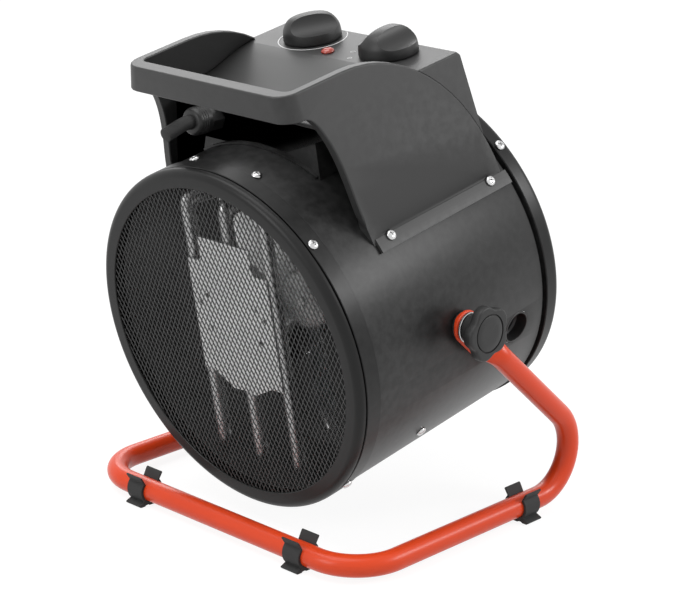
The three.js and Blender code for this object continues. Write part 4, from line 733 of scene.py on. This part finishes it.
def fan():
    half, bore = 10, 4.2
    hub = [(bore, -half), (FAN_HUB - 6, -half), (FAN_HUB - 3, -half + 0.8),
           (FAN_HUB - 0.8, -half + 3), (FAN_HUB, -half + 6), (FAN_HUB, half - 0.4),
           (FAN_HUB - 0.4, half), (FAN_HUB - 2.8, half), (FAN_HUB - 3, half - 0.4),
           (FAN_HUB - 3, -half + 6), (FAN_HUB - 6, -half + 3.2), (9, -half + 3), (9, half - 2),
           (bore, half - 2)]
    blade = fan_blade()
    blades = [moved(blade, Matrix.Rotation(pi + 2 * pi * i / FAN_BLADES, 4, "Y"))
              for i in range(FAN_BLADES)]
    wheel = joined([turned(hub, 64, "y"), *blades])
    piece("fan_pressing", wheel, DRUM @ Matrix.Translation((0, behind(FAN_BACK), 0)),
          "fan_wheel", "aluminium", ("fan",))


# ---- Screws --------------------------------------------------------------------------------------
FLANGE_RADIUS = 136.6  # the outside of the hood's flange
FLANGE_ANGLE = radians(53.6)


def screw_head():
    """A pan head with a cross recess."""
    dome = turned([(0, 0), (3.7, 0), (4, 0.3), (4, 0.8), (3.75, 1.4), (3.2, 2.0), (2.3, 2.42),
                   (1.2, 2.57), (0, 2.6)], 40)
    bar = [(-2.4, 0.5), (2.4, 0.5), (2.4, -0.5), (-2.4, -0.5)]
    slots = [skin([[(u * size, v * size, z) for u, v in shape]
                   for z, size in ((0.9, 0.45), (3, 1.12))])
             for shape in (bar, [(v, u) for u, v in bar])]
    return carved(dome, slots)


def screws():
    """Every screw head, each turned to a slot angle of its own."""
    head = screw_head()
    places = {}
    for ring, back in (("front", 13), ("rear", 212.5)):
        for i, angle in enumerate(QUARTERS):
            places[f"{ring}_ring_screw_{i + 1}"] = (angle, back, BAND_RADIUS)
    hood_places = [(side * FLANGE_ANGLE, back) for side in (1, -1) for back in (75, 183)]
    for i, (angle, back) in enumerate(hood_places):
        places[f"hood_screw_{i + 1}"] = (angle, back, FLANGE_RADIUS)
    for label, side in SIDES:
        places[f"casing_screw_{label}"] = (side * radians(14), 26.5, SKIN_RADIUS)
        places[f"bottom_screw_{label}"] = (side * radians(129), 86, SKIN_RADIUS)
    for i, (name, (angle, back, seat)) in enumerate(places.items()):
        spun = on_drum(angle, back, seat) @ Matrix.Rotation(radians(37 * i), 4, "Z")
        stands_for = () if name.startswith("bottom") else (name,)
        piece(f"{name}_head", head, spun, "heater", "zinc", stands_for, smooth=28)


# ---- Controls ------------------------------------------------------------------------------------
PRINT_LOW, PRINT_HIGH = 0.02, 0.12
MARK_CIRCLE = 29  # from the mode knob's middle to its printed marks


def control_knob():
    """A domed knob scooped from both sides, which leaves a grip rib across its top."""
    radius, skirt, top, scoop = 22.45, 8, 19.95, 16
    profile = [(0, 0.8), (radius - 0.8, 0.8), (radius - 0.2, 1.0), (radius, 1.6),
               (radius - 0.2, 5), (radius - 0.6, skirt), (radius - 1.1, skirt + 1.6),
               (radius - 2, skirt + 3.5), (radius - 3.3, skirt + 5.5), (radius - 5, skirt + 7.5),
               (radius - 7.3, skirt + 9.2), (radius - 10, top - 1.6), (radius - 13, top - 0.8),
               (radius - 16, top - 0.3), (radius - 19, top - 0.08), (0, top)]
    scoops = [prism(arc(side * 19.6, skirt + 0.2 + scoop, scoop, 0, 360, 180)[:-1], -30, 30, "y")
              for side in (1, -1)]
    return carved(turned(profile, 96), scoops)


def swept_band(inner, outer, start, end):
    """A flat printed arc between two radii, from one angle to another in degrees."""
    steps = max(12, int((end - start) / 4))
    outline = arc(0, 0, outer, start, end, steps) + arc(0, 0, inner, end, start, steps)
    return prism(outline, PRINT_LOW, PRINT_HIGH)


def mode_mark(strokes):
    """A small printed ring, with a bar across it for each heating stage."""
    half_long, half_thick = 1.2, 0.17
    bars = [prism([(-half_long, y - half_thick), (half_long, y - half_thick),
                   (half_long, y + half_thick), (-half_long, y + half_thick)],
                  PRINT_LOW, PRINT_HIGH)
            for y in ((), (0,), (-0.5, 0.5))[strokes]]
    return joined([swept_band(1.5, 1.9, 0, 350), *bars])


def print_on_panel(name, mesh, x, back):
    made = piece(name, mesh, PANEL @ Matrix.Translation((x, behind(back), 0)), "heater", "hood")
    made.data.materials[0] = WHITE_PRINT


def controls():
    knob = control_knob()
    for label, body, side, turn in (("thermostat", "thermostat_dial", -1, -32),
                                    ("mode_switch", "mode_dial", 1, 0)):
        place = PANEL @ Matrix.Translation((side * CONTROL_SPREAD, behind(CONTROL_BACK), 0))
        piece(f"{label}_grip", knob, place @ Matrix.Rotation(radians(turn), 4, "Z"), body,
              "black_plastic", (f"{label}_knob",), edge=0.5, smooth=32)
    print_on_panel("thermostat_ring_print", swept_band(26.1, 26.9, -235, 55), -CONTROL_SPREAD,
                   CONTROL_BACK)
    for label, angle, strokes in (("off", 174, 0), ("low", 200, 1), ("high", 227, 2)):
        x = CONTROL_SPREAD + MARK_CIRCLE * cos(radians(angle))
        back = CONTROL_BACK + MARK_CIRCLE * sin(radians(angle))
        print_on_panel(f"mode_mark_{label}", mode_mark(strokes), x, back)
    lens = turned([(0, -4), (4, -4), (4, 0.1), (4.8, 0.2), (5, 0.6), (4.8, 1.4), (4, 2.3),
                   (2.6, 2.95), (1.2, 3.15), (0, 3.2)], 40)
    piece("lamp_lens", lens, PANEL @ Matrix.Translation((-6, behind(147), 0)), "heater",
          "lamp_red", ("indicator_lamp",))


# ---- Stand ---------------------------------------------------------------------------------------
def stand_tube():
    """One bent tube; towards both ends its round section presses flat, rounded at the pivot."""
    shift, half_plate, plate_width = 5, 2, 12.5
    rear_start, rear_bend, front_corner = 80.5, 35.5, 40
    neck, run_in, neck_steps = 8, 26, 12
    sides = 32
    centre = Vector((rear_start, RAIL_HEIGHT + rear_bend))
    to_pivot = Vector((0, PIVOT_HEIGHT)) - centre
    arm_angle = atan2(to_pivot.y, to_pivot.x) - acos(rear_bend / to_pivot.length) + pi / 2
    corner = rear_start + rear_bend * tan(arm_angle / 2)
    left_side = [(-RAIL_SPREAD, 0, PIVOT_HEIGHT), (-RAIL_SPREAD, corner, RAIL_HEIGHT),
                 (-RAIL_SPREAD, -STAND_FRONT, RAIL_HEIGHT)]
    right_side = [(-x, y, z) for x, y, z in reversed(left_side)]
    stations = bent_path(left_side + right_side,
                         [rear_bend, front_corner, front_corner, rear_bend], 20)

    def loop(point, along, outward, thick, wide, push, boxy=1.0):
        """A section across the tube: an oval, or squarer as boxy falls below 1."""
        up = outward.cross(along)
        turns = [2 * pi * i / sides for i in range(sides)]
        return [point + outward * ((1 if cos(t) > 0 else -1) * abs(cos(t)) ** boxy * thick + push)
                + up * sin(t) * wide for t in turns]

    def pressed_end(pivot, along):
        outward = Vector((1 if pivot.x > 0 else -1, 0, 0))
        rings = [loop(pivot + along * share * plate_width, along, outward,
                      half_plate * (0.75 if share < -0.97 else 1),
                      plate_width * sqrt(1 - share * share), -shift, 0.5)
                 for share in (-0.995, -0.97, -0.9, -0.78, -0.62, -0.42, -0.2, 0)]
        flat_end = pivot + along * (neck + plate_width)
        for i in range(neck_steps + 1):
            share = i / neck_steps
            ease = share * share * (3 - 2 * share)
            rings.append(loop(flat_end + along * share * run_in, along, outward,
                              half_plate + (TUBE_RADIUS - half_plate) * ease,
                              plate_width + (TUBE_RADIUS - plate_width) * ease,
                              -shift * (1 - ease), 0.5 + 0.5 * ease))
        return rings

    first, last = stations[0], stations[-1]
    middle = []
    for point, along in stations[1:-1]:
        outward = Vector((along.y, -along.x, 0)).normalized()
        if abs(abs(point.x) - RAIL_SPREAD) < 1e-6:
            outward = Vector((1 if point.x > 0 else -1, 0, 0))
        middle.append(loop(point, along, outward, TUBE_RADIUS, TUBE_RADIUS, 0))
    far_end = [[ring[0], *ring[:0:-1]] for ring in reversed(pressed_end(last[0], -last[1]))]
    mesh = skin([*pressed_end(*first), *middle, *far_end])
    piece("stand_bent_tube", mesh, METRES, "stand", "stand_paint", ("stand_tube",), smooth=40)


def foot_clips():
    """An open-topped rubber clip: a ribbed sole, walls hugging the tube and lips flared apart."""
    inside, outside = TUBE_RADIUS + 0.05, TUBE_RADIUS + 2.3
    lip_u = outside * cos(radians(42)) + 3.2
    lip_v = RAIL_HEIGHT + outside * sin(radians(42)) + 5
    sole = [(2, 0), (2.6, 0.1), (3.2, 0.7), (3.8, 0.8), (5.6, 0.8), (6.3, 0.7), (6.8, 0.1),
            (7.4, 0), (10.8, 0), (11.6, 0.2), (12.2, 0.8), (12.4, 1.7)]
    right = [*sole, *arc(0, RAIL_HEIGHT, outside, -46, 42, 14), (lip_u - 0.3, lip_v - 0.6),
             (lip_u, lip_v), (lip_u - 0.5, lip_v + 0.7), (lip_u - 1.3, lip_v + 0.8),
             (lip_u - 1.9, lip_v + 0.2), *arc(0, RAIL_HEIGHT, inside, 46, -90, 20)]
    outline = right + [(-u, v) for u, v in reversed(right[:-1])]
    half_width, front_spread, side_back = 8.5, 86, 63
    clip = prism(outline, -half_width, half_width, "y")
    for label, x, y, turn in (("front_left", -front_spread, -STAND_FRONT, 90),
                              ("front_right", front_spread, -STAND_FRONT, 90),
                              ("side_left", -RAIL_SPREAD, side_back, 0),
                              ("side_right", RAIL_SPREAD, side_back, 0)):
        place = METRES @ Matrix.Translation((x, y, 0)) @ Matrix.Rotation(radians(turn), 4, "Z")
        piece(f"rubber_foot_{label}", clip, place, "stand", "rubber", (f"foot_clip_{label}",),
              edge=0.5, smooth=40)


# ---- Tilt clamps ---------------------------------------------------------------------------------
def clamp_knob():
    """A five-lobed hand knob on a round boss, its face grooved; x runs outward from the drum."""
    start = 142.6
    face = start + 19
    groove = face - 1.1
    lobes, lobe_radius, lobe_depth = 5, 21, 3.2
    angles = [2 * pi * i / 100 for i in range(100)]

    def ring(radius, x):
        return [(x, radius * cos(angle), radius * sin(angle)) for angle in angles]

    def star(size, x):
        points = []
        for angle in angles:
            wave = 0.5 - 0.5 * cos(lobes * angle)
            radius = (lobe_radius - lobe_depth * (1 - wave) ** 1.6) * size
            points.append((x, radius * cos(angle), radius * sin(angle)))
        return points

    return skin([
        ring(9.9, start), ring(10.5, start + 0.6), ring(10.5, start + 11),
        star(0.94, start + 11.2), star(0.985, start + 11.8), star(1, start + 12.8),
        star(1, start + 17.2), star(0.985, start + 18.3), star(0.95, start + 18.9),
        star(0.9, face), ring(14.6, face), ring(14.4, face - 0.3), ring(14.3, groove),
        ring(13.6, groove), ring(13.4, face - 0.3), ring(12.9, face), ring(8, face),
        ring(0.5, face),
    ])


def pierced_disc(radius, low, high):
    """A disc about x with a hole for the stud and softened outer corners."""
    bore, soft = 4.2, 0.3
    return turned([(bore, low), (radius - soft, low), (radius, low + soft),
                   (radius, high - soft), (radius - soft, high), (bore, high)], 48, "x")


def clamps():
    knob = clamp_knob()
    spacer = pierced_disc(11, 134.3, 136.3)
    washer = pierced_disc(11.5, 140.6, 142.4)
    stud = turned([(0, 128), (3.7, 128), (4, 128.3), (4, 155), (0, 155)], 32, "x")
    for label, side in SIDES:
        turn = Matrix.Rotation(0 if side > 0 else pi, 4, "Z")
        piece(f"star_knob_{label}", knob, PIVOT @ turn, f"clamp_{label}", "black_plastic",
              (f"clamp_knob_{label}",), smooth=38)
        piece(f"clamp_stud_{label}", stud, PIVOT @ turn, f"clamp_{label}", "zinc",
              (f"pivot_stud_{label}",))
        piece(f"spacer_disc_{label}", spacer, DRUM @ turn, "heater", "black_plastic",
              (f"pivot_spacer_{label}",))
        piece(f"washer_disc_{label}", washer, PIVOT @ turn, "stand", "zinc",
              (f"pivot_washer_{label}",))


# ---- Cable gland ---------------------------------------------------------------------------------
def gland():
    """A ribbed nut and the cord's sleeve, level although the drum leans; y runs to the back."""
    level = Matrix.Rotation(-DRUM_TILT, 4, "X")
    place = DRUM @ Matrix.Translation((-43.5, behind(65.2), HOOD_TOP - 51.5)) @ level
    nut_start, nut_end = -14.6, -28.6
    bore, crest, valley, rib = 5.5, 10.5, 10.1, 2.2
    grip = [(bore, nut_end), (8.3, nut_end), (9.6, nut_end + 0.9), (10.3, nut_end + 2.4)]
    along = nut_end + 3
    while along < nut_start - 3:
        grip += [(crest, along), (crest, along + 1.1), (valley, along + 1.4),
                 (valley, along + 1.8)]
        along += rib
    grip += [(crest, nut_start - 0.5), (valley, nut_start), (8.2, nut_start),
             (8.2, nut_end + 4), (bore, nut_end + 4)]
    piece("gland_dome_nut", turned(grip, 48, "y"), place, "heater", "black_plastic",
          ("gland_nut",))
    knee = nut_end - 6
    droop, reach, sleeve_radius = radians(17), 20, 5.25
    path = bent_path([(0, -14.3, 0), (0, knee, 0),
                      (0, knee - reach * cos(droop), -reach * sin(droop))], [20], 10)
    piece("cable_sleeve_end", tube(path, sleeve_radius, 32, dome=0.8), place, "heater",
          "rubber", ("cable_sleeve",))


# ---- Making the object ---------------------------------------------------------------------------
casing()
side_cups()
front_ring()
rear_ring()
front_net()
liner()
heating_elements()
fan()
screws()
controls()
stand_tube()
foot_clips()
clamps()
gland()

# Solids whose own mesh is dressed: the finish, the rounding of the edges, and the height from
# which the edges are rounded.
REDRESSED = {
    "hood": ("hood", 1.3, 96),
    "control_panel": ("hood", 1.2, 120),
    "terminal_box": ("casing", 0.8, None),
    "element_plate": ("aluminium", 0.3, None),
    "rear_grille": ("dark_steel", 0.3, None),
    "motor_bracket": ("zinc", 0.5, None),
    "gland_body": ("black_plastic", 0.4, None),
    "thermostat_body": ("black_plastic", 0.5, None),
    "mode_switch_body": ("black_plastic", 0.5, None),
    "terminal_block": ("black_plastic", 0.5, None),
}
for node, (finish, edge, above) in REDRESSED.items():
    redressed(node, "heater", finish, edge, above)

# Solids that stay as they are and only get a finish.
KEPT = {
    "dark_steel": ("motor_body",),
    "zinc": ("motor_shaft", "thermostat_shaft", "mode_switch_shaft"),
    "black_plastic": ("gland_locknut",),
    "aluminium": ("thermal_cutout",),
}
for finish, nodes in KEPT.items():
    for node in nodes:
        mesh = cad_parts[node].data
        mesh.materials.clear()
        mesh.materials.append(FINISHES[finish])
